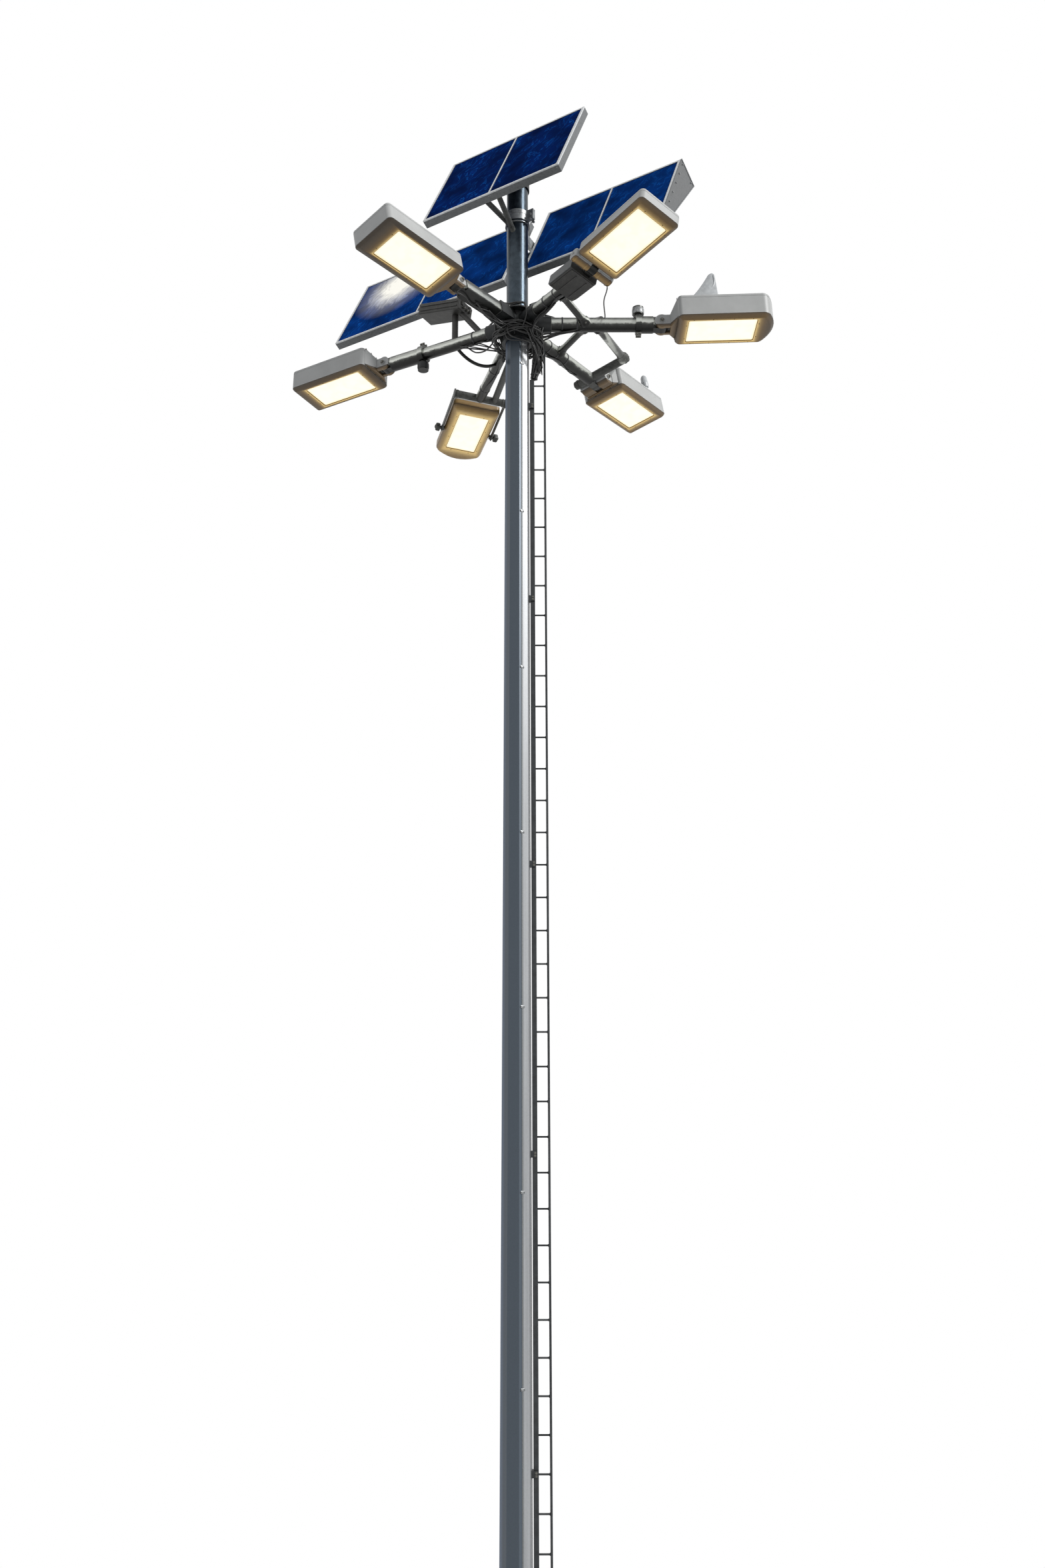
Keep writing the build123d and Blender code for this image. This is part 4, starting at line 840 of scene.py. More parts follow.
def head_shell(number):
    """Casting of one head. Rounded rectangles run from the tray above the lens down round the window's lip,
    out over the underside, up the slope to the rim, up the side past a seam and in over the crowned top. A
    ring's outer end bows by b * (1 - (y / half width)^2), with b growing from 0 at the lens to the
    casting's bow. The light fades as exp(-distance from the lens / reach)."""
    centre, (lens_length, lens_width, _), axes = head_frame(number)
    low, high, rim, end = casting_sizes(number)
    base, top = low[2], high[2]
    middle = (low[0] + end) / 2
    length, width = (end - low[0]) / 2, high[1]
    rows = [(0, lens_length + inset * MM, lens_width + inset * MM, 20 * MM, 0, base + rise * MM, glow)
            for inset, rise, glow in ((-20, 35, 0), (0, 28, 0), (0, 4, 0.9))]
    for share in np.linspace(0, 1, 6):
        rows.append((middle * share, lens_length + 3 * MM + (length - BEVEL - 3 * MM - lens_length) * share,
                     lens_width + 3 * MM + (width - BEVEL - 3 * MM - lens_width) * share,
                     20 * MM + 4 * MM * share, share, base, 1.0))
    slope = rim - base
    side = SIDE_GLOW.get(number, 0)
    profile = [(34, base + 0.06 * slope, 1.0), (20, base + 0.36 * slope, 0.9), (6, base + 0.8 * slope, 0.7),
               (1.5, base + 0.95 * slope, 0.4), (0, base + 1.04 * slope, 0.4),
               (0, base + 1.1 * slope, side), (0, top - 42 * MM, side),
               (2.5, top - 41 * MM, 0), (2.5, top - 38 * MM, 0), (0.5, top - 37 * MM, 0),
               (0.5, top - 24 * MM, 0), (2, top - 15 * MM, 0), (7, top - 9 * MM, 0), (16, top - 6 * MM, 0),
               (50, top - 2 * MM, 0), (100, top, 0)]
    for inset, height, glow in profile:
        rows.append((middle, length - inset * MM, width - inset * MM, max(CORNER - inset * MM, 12 * MM), 1,
                     height, glow))
    shift, half_length, half_width, corner, share, rise, glow = np.array(rows).T[:, :, None]
    x, y = rounded_rectangle(half_length[:, 0], half_width[:, 0], corner[:, 0], 8, 7)
    bow = END_BOWS.get(number, 0) * share * (1 - (y / half_width) ** 2)
    local = np.stack([shift + x + np.where(x > 0, bow, 0), y, rise + 0 * x], -1)
    obj = piece("head_%d_casting" % number, loft(place(centre, axes, local)), "casting",
                "head_%d" % number, 40, slot="head_casting")
    beyond = np.maximum(np.abs(local[..., :2]) - (lens_length, lens_width), 0)
    reach = LIT_REACH[number] * MM
    fade = FAINTEST + (1 - FAINTEST) * np.exp(-np.linalg.norm(beyond, axis=-1) / reach)
    point_values(obj, "glow", np.where(rise < base + 1.05 * slope, glow * fade, glow))
    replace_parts(obj, "head_%d_housing" % number)


def head_lens(number):
    """Lens of one head: rounded rectangles shrinking to the middle, bellied 4 mm downward, each point
    holding its distance from the edge as a share of 60 mm."""
    centre, (length, width, height), axes = head_frame(number)
    share = np.array([1.0, 1.0, 0.97, 0.9, 0.8, 0.65, 0.45, 0.2])
    inset = (1 - share) * width
    rise = np.where(np.arange(len(share)) == 0, height, -height - 4 * MM * (1 - share ** 2))
    x, y = rounded_rectangle(length - inset, width - inset, np.maximum(20 * MM - inset, 4 * MM), 8)
    local = np.stack([x, y, rise[:, None] + 0 * x], -1)
    obj = piece("head_%d_diffuser" % number, loft(place(centre, axes, local)[:, ::-1]), "lens",
                "head_%d" % number, 60, slot="lens")
    point_values(obj, "edge", np.clip(inset[:, None] / (60 * MM), 0, 1) + 0 * x)
    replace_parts(obj, "head_%d_lens" % number)


def head_gasket(number, thread):
    """Rubber cord round the lens, and the screws of its frame."""
    centre, (length, width, _), axes = head_frame(number)
    base = casting_sizes(number)[0][2]
    x, y = rounded_rectangle(length - 2 * MM, width - 2 * MM, 19 * MM, 6)
    path = place(centre, axes, np.stack([x[0], y[0], 0 * x[0] + base + 9 * MM], -1))
    body = "head_%d" % number
    piece("head_%d_gasket" % number, closed_tube(path, 3.5 * MM), "gasket", body, slot="lens")
    out = 17 * MM
    places = []
    for side in (-1, 1):
        places += [(share * length, side * (width + out)) for share in (-0.85, -0.3, 0.3, 0.85)]
        places += [(side * (length + out), share * width) for share in (-0.6, 0.6)]
    pan = [(-2 * MM, 0.9 * thread, 0), (1 * MM, 0.9 * thread, 0), (2 * MM, 0.6 * thread, 0)]
    screws = [turned(pan, place(centre, axes, (*spot, base)), -axes[2], 12) for spot in places]
    piece("head_%d_frame_screws" % number, screws, "gasket", body, slot="bare_metal")


def head_ribs(number, height):
    """Cooling ribs along the top of a casting, lower towards the sides with its crown."""
    centre, _, axes = head_frame(number)
    low, high, _, end = casting_sizes(number)
    length = end - low[0] - 220 * MM
    ribs = []
    for share in np.linspace(-0.62, 0.62, 9):
        run = length * (1 - 0.35 * abs(share))
        spot = place(centre, axes, ((low[0] + end) / 2, share * high[1], high[2] + height / 2 - 3 * MM))
        ribs.append(block(spot, axes, (run, 6 * MM, height + 6 * MM)))
    mouth = place(centre, axes, (low[0] + 70 * MM, 0, high[2] - 4 * MM))
    ribs.append(gland(mouth, axes[2], 9 * MM))
    obj = piece("head_%d_ribs" % number, ribs, "casting", "head_%d" % number, slot="head_casting")
    point_values(obj, "glow", np.zeros(len(obj.data.vertices)))


class TOWER_OT_head_fittings(bpy.types.Operator):
    """Model the knuckle bolts, hand knobs, fin and sensor of the heads"""
    bl_idname = "tower.head_fittings"
    bl_label = "Head fittings"

    def execute(self, context):
        sizes = context.scene.tower_sizes
        for number in KNUCKLES:
            knuckle_bolts(number, sizes.hub_bolt)
            cover_screws(number, sizes.screw)
        barrel_ends(sizes.hub_bolt)
        trunnion_knobs()
        head_fin()
        light_sensor()
        return {"FINISHED"}


def knuckle_bolts(number, thread):
    """Bolts at both ends of a head's knuckle pin, with a toothed washer."""
    _, _, axes = head_frame(number)
    pivot = pivot_of(number)
    local = (points_of("head_%d_cap" % number) - pivot) @ axes.T
    near = np.hypot(local[:, 0], local[:, 2]) < 30 * MM
    reach = np.abs(local[near][:, 1]).max()
    solids = []
    washer = scaled([(0, 22, 0), (3, 22, 0), (4, 20, 0)], MM)
    for side in (-1, 1):
        face = pivot + side * reach * axes[1]
        solids.append(turned(washer, face, side * axes[1], 32))
        solids += bolt(face + side * 3 * MM * axes[1], side * axes[1], thread)
    piece("head_%d_knuckle_bolts" % number, solids, "dark_bolts", "head_%d" % number, slot="bare_metal")


def cover_screws(number, thread):
    """Screws on washers where a head's cast cover joins its casting, in a row above and a row below."""
    centre, _, axes = head_frame(number)
    low, high, rim, _ = casting_sizes(number)
    half = 0.94 * (high[1] - CORNER)
    screw = [(0, 2.2 * thread, 0), (2 * MM, 2.2 * thread, 0), (2 * MM, thread, 1), (6 * MM, 0.9 * thread, 1)]
    solids = []
    for y in np.linspace(-half, half, 5):
        for z in (rim + 14 * MM, high[2] - 14 * MM):
            solids.append(turned(screw, place(centre, axes, (low[0] - 1 * MM, y, z)), -axes[0], 12))
    piece("head_%d_cover_screws" % number, solids, "dark_bolts", "head_%d" % number, slot="bare_metal")


def barrel_ends(thread):
    """End covers and bolts of the second head's barrel hinge, and raised bands along the barrel."""
    _, _, axes = head_frame(2)
    pivot = pivot_of(2)
    local = (points_of("head_2_barrel") - pivot) @ axes.T
    reach = np.abs(local[:, 1]).max()
    radius = -local[:, 0].min()
    solids = []
    for side in (-1, 1):
        out = side * axes[1]
        cover = [(0, radius - 4 * MM, 0), (4 * MM, radius - 6 * MM, 0), (8 * MM, radius - 14 * MM, 0),
                 (9 * MM, radius - 30 * MM, 0)]
        solids.append(turned(cover, pivot + reach * out, out, 36))
        solids += bolt(pivot + (reach + 8 * MM) * out, out, thread)
        for share in (0.35, 0.9):
            solids.append(band(pivot + share * reach * out, out, radius, 14 * MM, 3 * MM))
    piece("head_2_barrel_ends", solids, "head_2", "head_2", slot="head_casting")


def trunnion_knobs():
    """Boss, washer and six-lobed hand knob on each side of the yoke-mounted head."""
    _, _, axes = head_frame(5)
    pivot = pivot_of(5)
    half = casting_sizes(5)[1][1]
    reach = np.abs((points_of("head_5_trunnions") - pivot) @ axes[1]).max()
    grip = reach - 60 * MM
    profile = [(half, 26, 0), (half + 17.6 * MM, 26, 0), (half + 17.6 * MM, 14, 0), (half + 30.4 * MM, 14, 0),
               (half + 30.4 * MM, 29, 0), (half + 34 * MM, 29, 0), (half + 34 * MM, 20, 0), (grip, 20, 0),
               (grip, 36, -0.9), (grip + 7 * MM, 42, -1), (grip + 36 * MM, 42, -1),
               (grip + 46 * MM, 36, -0.9), (grip + 50 * MM, 22, -0.3), (grip + 56 * MM, 18, 0),
               (grip + 60 * MM, 8, 0)]
    profile = [(distance, radius * MM, flat) for distance, radius, flat in profile]
    solids = [turned(profile, pivot, side * axes[1], 48) for side in (-1, 1)]
    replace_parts(piece("head_5_knobs", solids, "brace", "head_5", slot="bare_metal"), "head_5_trunnions")


def head_fin():
    """Thin curved fin on the back of the third head: at the height share t its back edge has run t^0.62 of
    the way to the tip, its front edge stands nearly upright, and it thins from foot to crest."""
    centre, _, axes = head_frame(3)
    low, high = local_box("head_3_fin", centre, axes)
    foot, front = low[0], high[0]
    width = front - foot
    t = np.concatenate([np.linspace(0, 0.93, 12), [0.97, 0.99, 1.0]])[:, None]
    back = foot + 0.79 * width * t ** 0.62
    fore = front - 0.075 * width * t
    crest = np.sqrt(np.clip((1.0 - t) / 0.07, 0, 1))
    middle, half = (back + fore) / 2, (fore - back) / 2 * (0.35 + 0.65 * crest)
    thick = (17 * (1 - t) ** 1.5 + 6) * MM * (0.3 + 0.7 * crest)
    angle = np.linspace(0, 2 * np.pi, 24, endpoint=False)[None, :]
    x = middle + half * np.sign(np.cos(angle)) * np.abs(np.cos(angle)) ** 0.75
    pinch = 1 - 0.45 * np.cos(angle) ** 2 - 0.25 * np.sin(2 * angle) ** 2
    y = (low[1] + high[1]) / 2 + thick * np.sin(angle) * pinch
    z = low[2] + (high[2] - low[2]) * t + 0 * angle
    fin = [loft(place(centre, axes, np.stack([x, y, z], -1)))]
    spine = [(0.4, 4), (0.62, 90), (0.88, 210), (0.9, np.ptp((low[2], high[2])) / MM - 24)]
    rib = curve([(foot + share * width, y.mean(), low[2] + rise * MM) for share, rise in spine])
    fin.append(tube(place(centre, axes, rib), 11 * MM, 10))
    obj = piece("head_3_crest", fin, "clear", "head_3", 50, slot="head_casting")
    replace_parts(obj, "head_3_fin")


def light_sensor():
    """Photocell on the fourth head: a ribbed twist-lock foot, a collar and a domed cover."""
    centre, _, axes = head_frame(4)
    low, high = local_box("head_4_sensor", centre, axes)
    middle = (low + high) / 2
    radius = (high[0] - low[0]) / 2
    height = high[2] - low[2]
    profile = [(0, 0.9, 0), (0.04, 0.9, 0), (0.05, 0.62, 0), (0.27, 0.58, 0), (0.29, 0.85, -0.3),
               (0.36, 0.95, -0.3), (0.4, 0.95, -0.3), (0.42, 1.0, 0), (0.62, 1.0, 0), (0.64, 0.93, 0),
               (0.82, 0.9, 0), (0.92, 0.7, 0), (0.98, 0.42, 0), (1.0, 0.15, 0)]
    sizes = np.array(profile) * (height, radius, 1)
    foot = place(centre, axes, (middle[0], middle[1], low[2]))
    obj = piece("head_4_photocell", turned(sizes, foot, axes[2], 36, 12), "clear", "head_4", slot="box_paint")
    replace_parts(obj, "head_4_sensor")


class TOWER_OT_hub(bpy.types.Operator):
    """Model the bolts, gussets and weld beads of the hub, the arms and the mast"""
    bl_idname = "tower.hub"
    bl_label = "Hub and welds"

    def execute(self, context):
        sizes = context.scene.tower_sizes
        hub_bolts(sizes.hub_bolt)
        hub_gussets()
        welds(sizes.weld)
        sleeve_grips(sizes.clamp_bolt)
        crossbar_ends(sizes.hub_bolt)
        return {"FINISHED"}


def hub_bolts(thread):
    """Twelve bolts through each ring of the hub."""
    face = local_box("hub", (0, 0, HUB_Z), WORLD)[1][2]
    reach = 185 * MM
    solids = []
    for azimuth in range(5, 365, 30):
        solids += stud(around_mast(azimuth, reach, face), UP, thread)
        solids += bolt(around_mast(azimuth, reach, -face), -UP, thread)
    piece("hub_bolts", solids, "dark_bolts", slot="bare_metal")


def hub_gussets():
    """Upright plates that hold the hub's lower ring to its sleeve."""
    outline = np.array([(136, -190), (150, -190), (205, -108), (205, -91), (136, -91)]) * MM
    solids = []
    for azimuth in range(-10, 350, 45):
        out = around_mast(azimuth, 1, -HUB_Z)
        points = (0, 0, HUB_Z) + outline[:, :1] * out + outline[:, 1:] * UP
        solids.append(plate(points, np.cross(out, UP), 10 * MM))
    piece("hub_gussets", solids, "dark", slot="weathered_steel")


def welds(width):
    """Weld beads: round each arm where it leaves its socket, at the tube's foot, round the lip of the
    hub's sleeve, at the mast's slip joint and round the mast on its flange."""
    radius = width / 2
    socket = 337 * MM
    solids = []
    for number in HEADS[1:]:
        ring = ring_path(on_arm(number, socket), arm_axes(number)[0], arm_radius(number) + 3 * MM)
        solids.append(closed_tube(ring, radius))
    x, y = rounded_rectangle(59 * MM, 76 * MM, 10 * MM, 4)
    out = arm_axes(1)[0]
    across = unit(np.cross(axes_of("arm_1")[2][2], out))
    rise = np.cross(out, across)
    solids.append(closed_tube(on_arm(1, socket) + x[0][:, None] * rise + y[0][:, None] * across, radius))
    tube_radius = np.ptp(points_of("mast_top_tube")[:, 0]) / 2 - 12 * MM
    for height, reach in ((94 * MM, tube_radius + 4 * MM), (-189 * MM, 141 * MM)):
        solids.append(closed_tube(ring_path((0, 0, HUB_Z + height), UP, reach), radius))
    piece("arm_welds", solids, "brace", slot="weathered_steel")
    slip = points_of("mast_shaft")[:, 2].min()
    beads = [closed_tube(mast_ring("mast_lower_section", slip, 3 * MM), radius),
             closed_tube(mast_ring("mast_lower_section", FLANGE + 2 * MM, 3 * MM), 1.3 * radius)]
    piece("mast_welds", beads, "weld", slot="galvanised")


def sleeve_grips(thread):
    """Lobed grip over each sleeve's hand knob, and the lugs and bolts that close its collar."""
    grip = scaled([(1, 50, -0.1), (6, 58, -0.2), (16, 60, -0.3), (56, 60, -0.3), (66, 55, -0.25), (72, 42, 0),
                   (76, 38, 0), (79, 30, 0)], MM)
    for number, (reach, rise, up) in SLEEVE_KNOBS.items():
        axes = arm_axes(number)
        foot = on_arm(number, reach * MM, 0, up * rise * MM)
        body = "sleeve_%d" % number
        finish = "knob" if up > 0 else "dark"
        piece(body + "_grip", turned(grip, foot, up * UP, 48, 8), finish, body, slot="bare_metal")
        solids = []
        for side in (-1, 1):
            lug = on_arm(number, reach * MM, side * 22 * MM, -up * (rise - 4) * MM)
            solids.append(block(lug, axes, (54 * MM, 14 * MM, 44 * MM)))
            for step in (-14, 14):
                spot = lug + step * MM * axes[0] + side * 7 * MM * axes[1] - up * 8 * MM * UP
                solids += bolt(spot, side * axes[1], thread)
        gap = on_arm(number, reach * MM, 0, -up * (rise + 6) * MM)
        solids.append(block(gap, axes, (40 * MM, 32 * MM, 10 * MM)))
        piece(body + "_lugs", solids, "dark_bolts", body, slot="bare_metal")


def crossbar_ends(thread):
    """Bands round both ends of the crossbars of the fourth and fifth heads, and domed covers with bolts on
    the ends of the first of them."""
    solids = []
    for node, number in (("crossbar_4", 4), ("yoke_5_crossbar", 5)):
        side = side_of(number)
        points = points_of(node)
        reach = points @ side
        for sign in (-1, 1):
            edge = (sign * reach).max()
            ring = points[sign * reach > edge - MM]
            middle = (ring.max(0) + ring.min(0)) / 2
            radius = np.linalg.norm(ring - middle, axis=1).max()
            if number == 4:
                width = radius / MM
                cover = scaled([(-2, width - 1, 0), (3, width - 1, 0), (8, width - 5, 0), (11, 20, 0)], MM)
                solids.append(turned(cover, middle, sign * side, 32))
                solids += bolt(middle + sign * 10 * MM * side, sign * side, thread)
            solids.append(band(middle - sign * 34 * MM * side, side, radius, 22 * MM, 5 * MM))
    piece("crossbar_covers", solids, "brace", slot="weathered_steel")


class TOWER_OT_cables(bpy.types.Operator):
    """Route the supply cables from the arms round the hub and down beside the ladder"""
    bl_idname = "tower.cables"
    bl_label = "Cables"

    def execute(self, context):
        radius = context.scene.tower_sizes.cable / 2
        random = np.random.default_rng(11)
        cable_bundle(1.7 * radius)
        solids = arm_cables(random, radius) + upper_loops(random, radius) + slack_loops(random, radius)
        solids += lone_leads(radius)
        piece("hub_cables", solids, "cables", smooth=60, slot="cable")
        cable_ties()
        return {"FINISHED"}


def bundle_path():
    """Middle line of the tied bundle from the hub to the ladder."""
    return curve(np.array(BUNDLE) * MM + (0, 0, HUB_Z), 12)


def cable_bundle(radius):
    """Six strands twisted round a seventh: strand k runs through the point at the angle
    60 k + 5 i degrees of the i-th circle along the path."""
    path = bundle_path()
    places = 72
    rings = path_rings(path, 2 * radius, places, False)
    step = np.arange(len(path))
    strands = [tube(path, radius)]
    for strand in range(6):
        strands.append(tube(rings[step, (strand * places // 6 + step) % places], radius))
    obj = piece("cable_bundle", strands, "cables", smooth=60, slot="cable")
    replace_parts(obj, "supply_cables")


def arm_cables(random, radius):
    """Cables that leave the arms' undersides near the hub, wind round below its ring to the ladder's
    side and run down into the bundle, through points in metres. Some of the last two arms' cables go
    round the other way."""
    solids = []
    for index in range(34):
        number = HEADS[index % 6]
        size = radius * random.uniform(0.75, 1.25)
        start = arm_azimuth(number)
        turn = random.uniform(-55, 30) - start
        if number in (5, 6) and random.random() < 0.75 and start > 0:
            turn -= 360
        reach = random.uniform(0.36, 0.62)
        across = random.uniform(-0.03, 0.03)
        drop = arm_radius(number) + 0.6 * size
        points = [on_arm(number, reach + 0.05, across, -drop + 0.01),
                  on_arm(number, reach, across, -drop - 0.004),
                  on_arm(number, reach - 0.1, across * 0.7, -drop - random.uniform(0.005, 0.05))]
        low = random.uniform(-0.25, -0.12)
        steps = max(2, int(abs(turn) / 26))
        for share in np.linspace(0.08, 1, steps):
            points.append(around_mast(start + turn * share, random.uniform(0.215, 0.262),
                                      low * (0.75 + 0.25 * share) + random.uniform(-0.025, 0.025)))
        for out, left, right, least, most in CABLE_DROP:
            points.append((random.uniform(0.15, out), random.uniform(left, right),
                           HUB_Z - random.uniform(least, most)))
        points.append((random.uniform(0.15, 0.178), random.uniform(-0.014, 0.014), HUB_Z - 0.61))
        solids.append(tube(curve(points, 5), size))
    return solids


def upper_loops(random, radius):
    """Short loops that rise from one arm over the hub's upper ring and go down behind the next."""
    solids = []
    for index in range(16):
        first = HEADS[index % 6]
        start = arm_azimuth(first)
        turn = (arm_azimuth(HEADS[(index + 1) % 6]) - start) % 360
        out = random.uniform(0.19, 0.25)
        top = random.uniform(0.1, 0.17)
        way = ((0.2, out * 0.85, top), (0.5, out * 0.8, top + 0.01), (0.75, out + 0.02, 0.09),
               (0.8, out + 0.035, -0.03), (0.7, out + 0.01, -0.16))
        points = [on_arm(first, 0.42, 0.02, arm_radius(first) - 0.004),
                  on_arm(first, 0.34, 0.0, arm_radius(first) + 0.02)]
        points += [around_mast(start + share * turn, reach, height) for share, reach, height in way]
        solids.append(tube(curve(points, 6), radius * random.uniform(0.7, 1.1)))
    return solids


def slack_loops(random, radius):
    """Loose loops that hang between the hub and the ladder, one below the sixth arm, and a pendant on its
    own lead."""
    solids = []
    for _ in range(12):
        azimuth = random.uniform(-120, 40)
        side = random.uniform(0.14, 0.2)
        points = [around_mast(azimuth, 0.225, -0.1),
                  around_mast(azimuth + 8, 0.25, -random.uniform(0.2, 0.3)),
                  around_mast(azimuth * 0.4, 0.235, -random.uniform(0.3, 0.45)),
                  (0.2 + random.uniform(-0.03, 0.07), random.uniform(-0.05, 0.03),
                   HUB_Z - random.uniform(0.42, 0.55)),
                  (side + 0.03, random.uniform(-0.03, 0.03), HUB_Z - random.uniform(0.3, 0.4)),
                  (side, random.uniform(-0.03, 0.03), HUB_Z - 0.56)]
        solids.append(tube(curve(points, 6), radius * random.uniform(0.6, 0.95)))
    under = [on_arm(6, 0.62, 0, -0.062), on_arm(6, 0.58, 0, -0.085), on_arm(6, 0.48, 0.01, -0.17),
             on_arm(6, 0.36, 0.02, -0.19), around_mast(165, 0.25, -0.15), around_mast(185, 0.23, -0.13)]
    solids.append(tube(curve(under, 7), radius))
    drop = [around_mast(-160, 0.215, -0.12), around_mast(-160, 0.2, -0.2), around_mast(-161, 0.165, -0.3),
            around_mast(-161, 0.15, -0.38)]
    solids.append(tube(curve(drop, 6), 0.5 * radius))
    pendant = [(0, 5, 0), (12, 8, 0), (30, 17, 0), (46, 22, 0), (60, 21, 0), (72, 13, 0), (78, 4, 0)]
    solids.append(turned(scaled(pendant, MM), around_mast(-161, 0.15, -0.37), -UP, 20))
    return solids


def lone_leads(radius):
    """Lead from the second head's barrel over to the third arm, and leads along the arms' undersides."""
    out = head_frame(2)[2][0]
    end = pivot_of(2) + 0.2 * side_of(2)
    top = arm_radius(3)
    lead = [end - 0.05 * out, end - 0.02 * out - 0.08 * UP, on_arm(2, 0.98, 0.32, -0.13),
            on_arm(3, 0.86, -0.3, -0.1), on_arm(3, 0.84, -0.14, 0.0),
            on_arm(3, 0.841, -0.03, top + 0.3 * radius), on_arm(3, 0.76, 0.0, top + 0.5 * radius),
            on_arm(3, 0.5, 0.01, top + 0.5 * radius), on_arm(3, 0.34, 0.02, top + 0.4 * radius)]
    solids = [tube(curve(lead, 8), 0.8 * radius)]
    for number, reach in ((1, 0.9), (2, 1.0), (4, 1.05), (5, 1.4)):
        share = np.linspace(0, 1, 9)
        drop = arm_radius(number) + 0.5 * radius + 0.006 * np.sin(14 * share) ** 2
        local = np.stack([reach + (0.4 - reach) * share, 0.02 * np.sin(9 * share), -drop], -1)
        solids.append(tube(curve(place((0, 0, HUB_Z), arm_axes(number), local), 4), 0.8 * radius))
    return solids


def cable_ties():
    """Ties round the bundle and straps that hold the leads to the arms."""
    path = bundle_path()
    solids = []
    for index in range(4, len(path) - 2, 7):
        direction = path[index + 1] - path[index - 1]
        solids.append(band(path[index], direction, 37 * MM, 9 * MM, 3 * MM))
    straps = {2: (0.5, 0.66), 3: (0.45, 0.6), 4: (0.5, 0.64, 0.8), 5: (0.5, 0.9, 1.3), 6: (0.5,)}
    for number, reaches in straps.items():
        out = arm_axes(number)[0]
        for reach in reaches:
            solids.append(band(on_arm(number, reach), out, arm_radius(number) - MM, 16 * MM, 5 * MM))
    piece("cable_ties", solids, "abs", slot="cable")


class TOWER_OT_braces(bpy.types.Operator):
    """Model the flared feet of the braces between the arms, and their bolts"""
    bl_idname = "tower.braces"
    bl_label = "Braces"

    def execute(self, context):
        brace_feet(context.scene.tower_sizes.clamp_bolt)
        return {"FINISHED"}


def brace_feet(thread):
    """Flared foot with four bolts where each end of a brace meets an arm or the crossbar."""
    feet = []
    bolts = []
    for start, end, radius, gaps in brace_lines():
        run = unit(end - start)
        for spot, direction, gap in ((start, run, gaps[0]), (end, -run, gaps[1])):
            flare = [(-18, 24), (6, 21), (24, 13), (52, 5), (74, 3), (78, -2)]
            flare = [((gap + distance) * MM, radius + grow * MM, 0) for distance, grow in flare]
            feet.append(turned(flare, spot, direction, 32))
            a, b = square_to(direction)
            for turn in (0.6, 2.2, 3.9, 5.4):
                out = np.cos(turn) * a + np.sin(turn) * b
                bolts += bolt(spot + direction * (gap + 26) * MM + out * (radius + 9 * MM), out, thread)
    piece("brace_feet", feet, "stay", slot="weathered_steel")
    piece("brace_bolts", bolts, "dark_bolts", slot="bare_metal")


def brace_lines():
    """Both ends, the radius and the gap from each end to the skin it meets, in mm, of every brace."""
    bar = on_arm(4, np.linalg.norm(pivot_of(4)[:2]) - 125 * MM) * (1, 1, 0) + pivot_of(4) * (0, 0, 1)
    return [(on_arm(2, 0.7), on_arm(3, 0.7), 36 * MM, (60, 74)),
            (on_arm(3, 0.7), on_arm(4, 0.7), 36 * MM, (74, 72)),
            (on_arm(3, 0.79), bar - 450 * MM * side_of(4), 40 * MM, (76, 44))]


class TOWER_OT_gear_boxes(bpy.types.Operator):
    """Model the covers, ribs, latches and glands of the control gear boxes"""
    bl_idname = "tower.gear_boxes"
    bl_label = "Gear boxes"

    def execute(self, context):
        sizes = context.scene.tower_sizes
        left_box(sizes.screw)
        right_box(sizes.screw)
        return {"FINISHED"}


def left_box(thread):
    """Lid with a rolled edge, lengthwise ribs on both broad sides, end latches and glands."""
    centre, half, axes = axes_of("gear_box_left")
    length, width, height = LEFT_BOX / 2
    middle = place(centre, axes, half - LEFT_BOX / 2)
    lid = place(middle, axes, (0, 0, height + 1 * MM))
    solids = [block(lid, axes, (494 * MM, 234 * MM, 5 * MM), 3 * MM)]
    for side in (-1, 1):
        for rise in (-22, 24):
            rib = [(x * MM, side * (width + 2 * MM), rise * MM) for x in np.linspace(-225, 225, 9)]
            solids.append(tube(place(middle, axes, rib), 8 * MM, 12))
        for end in (-1, 1):
            latch = (end * (length + 3 * MM), side * 70 * MM, 28 * MM)
            solids.append(block(place(middle, axes, latch), axes, (12 * MM, 34 * MM, 48 * MM)))
    piece("gear_box_left_cover", solids, "boxes", slot="box_paint")
    fixings = []
    for x in np.linspace(-230, 230, 5):
        for side in (-1, 1):
            spot = (x * MM, side * 108 * MM, height + 3 * MM)
            fixings += bolt(place(middle, axes, spot), axes[2], thread)
    for y, z in ((-60, -30), (60, -34), (0, 20), (-30, 36), (80, 6)):
        fixings += bolt(place(middle, axes, (length - MM, y * MM, z * MM)), axes[0], 2.4 * thread)
    for y in (-70, -20, 40):
        fixings.append(gland(place(middle, axes, (-length + MM, y * MM, -10 * MM)), -axes[0], 9 * MM))
    piece("gear_box_left_fixings", fixings, "dark_bolts", slot="bare_metal")


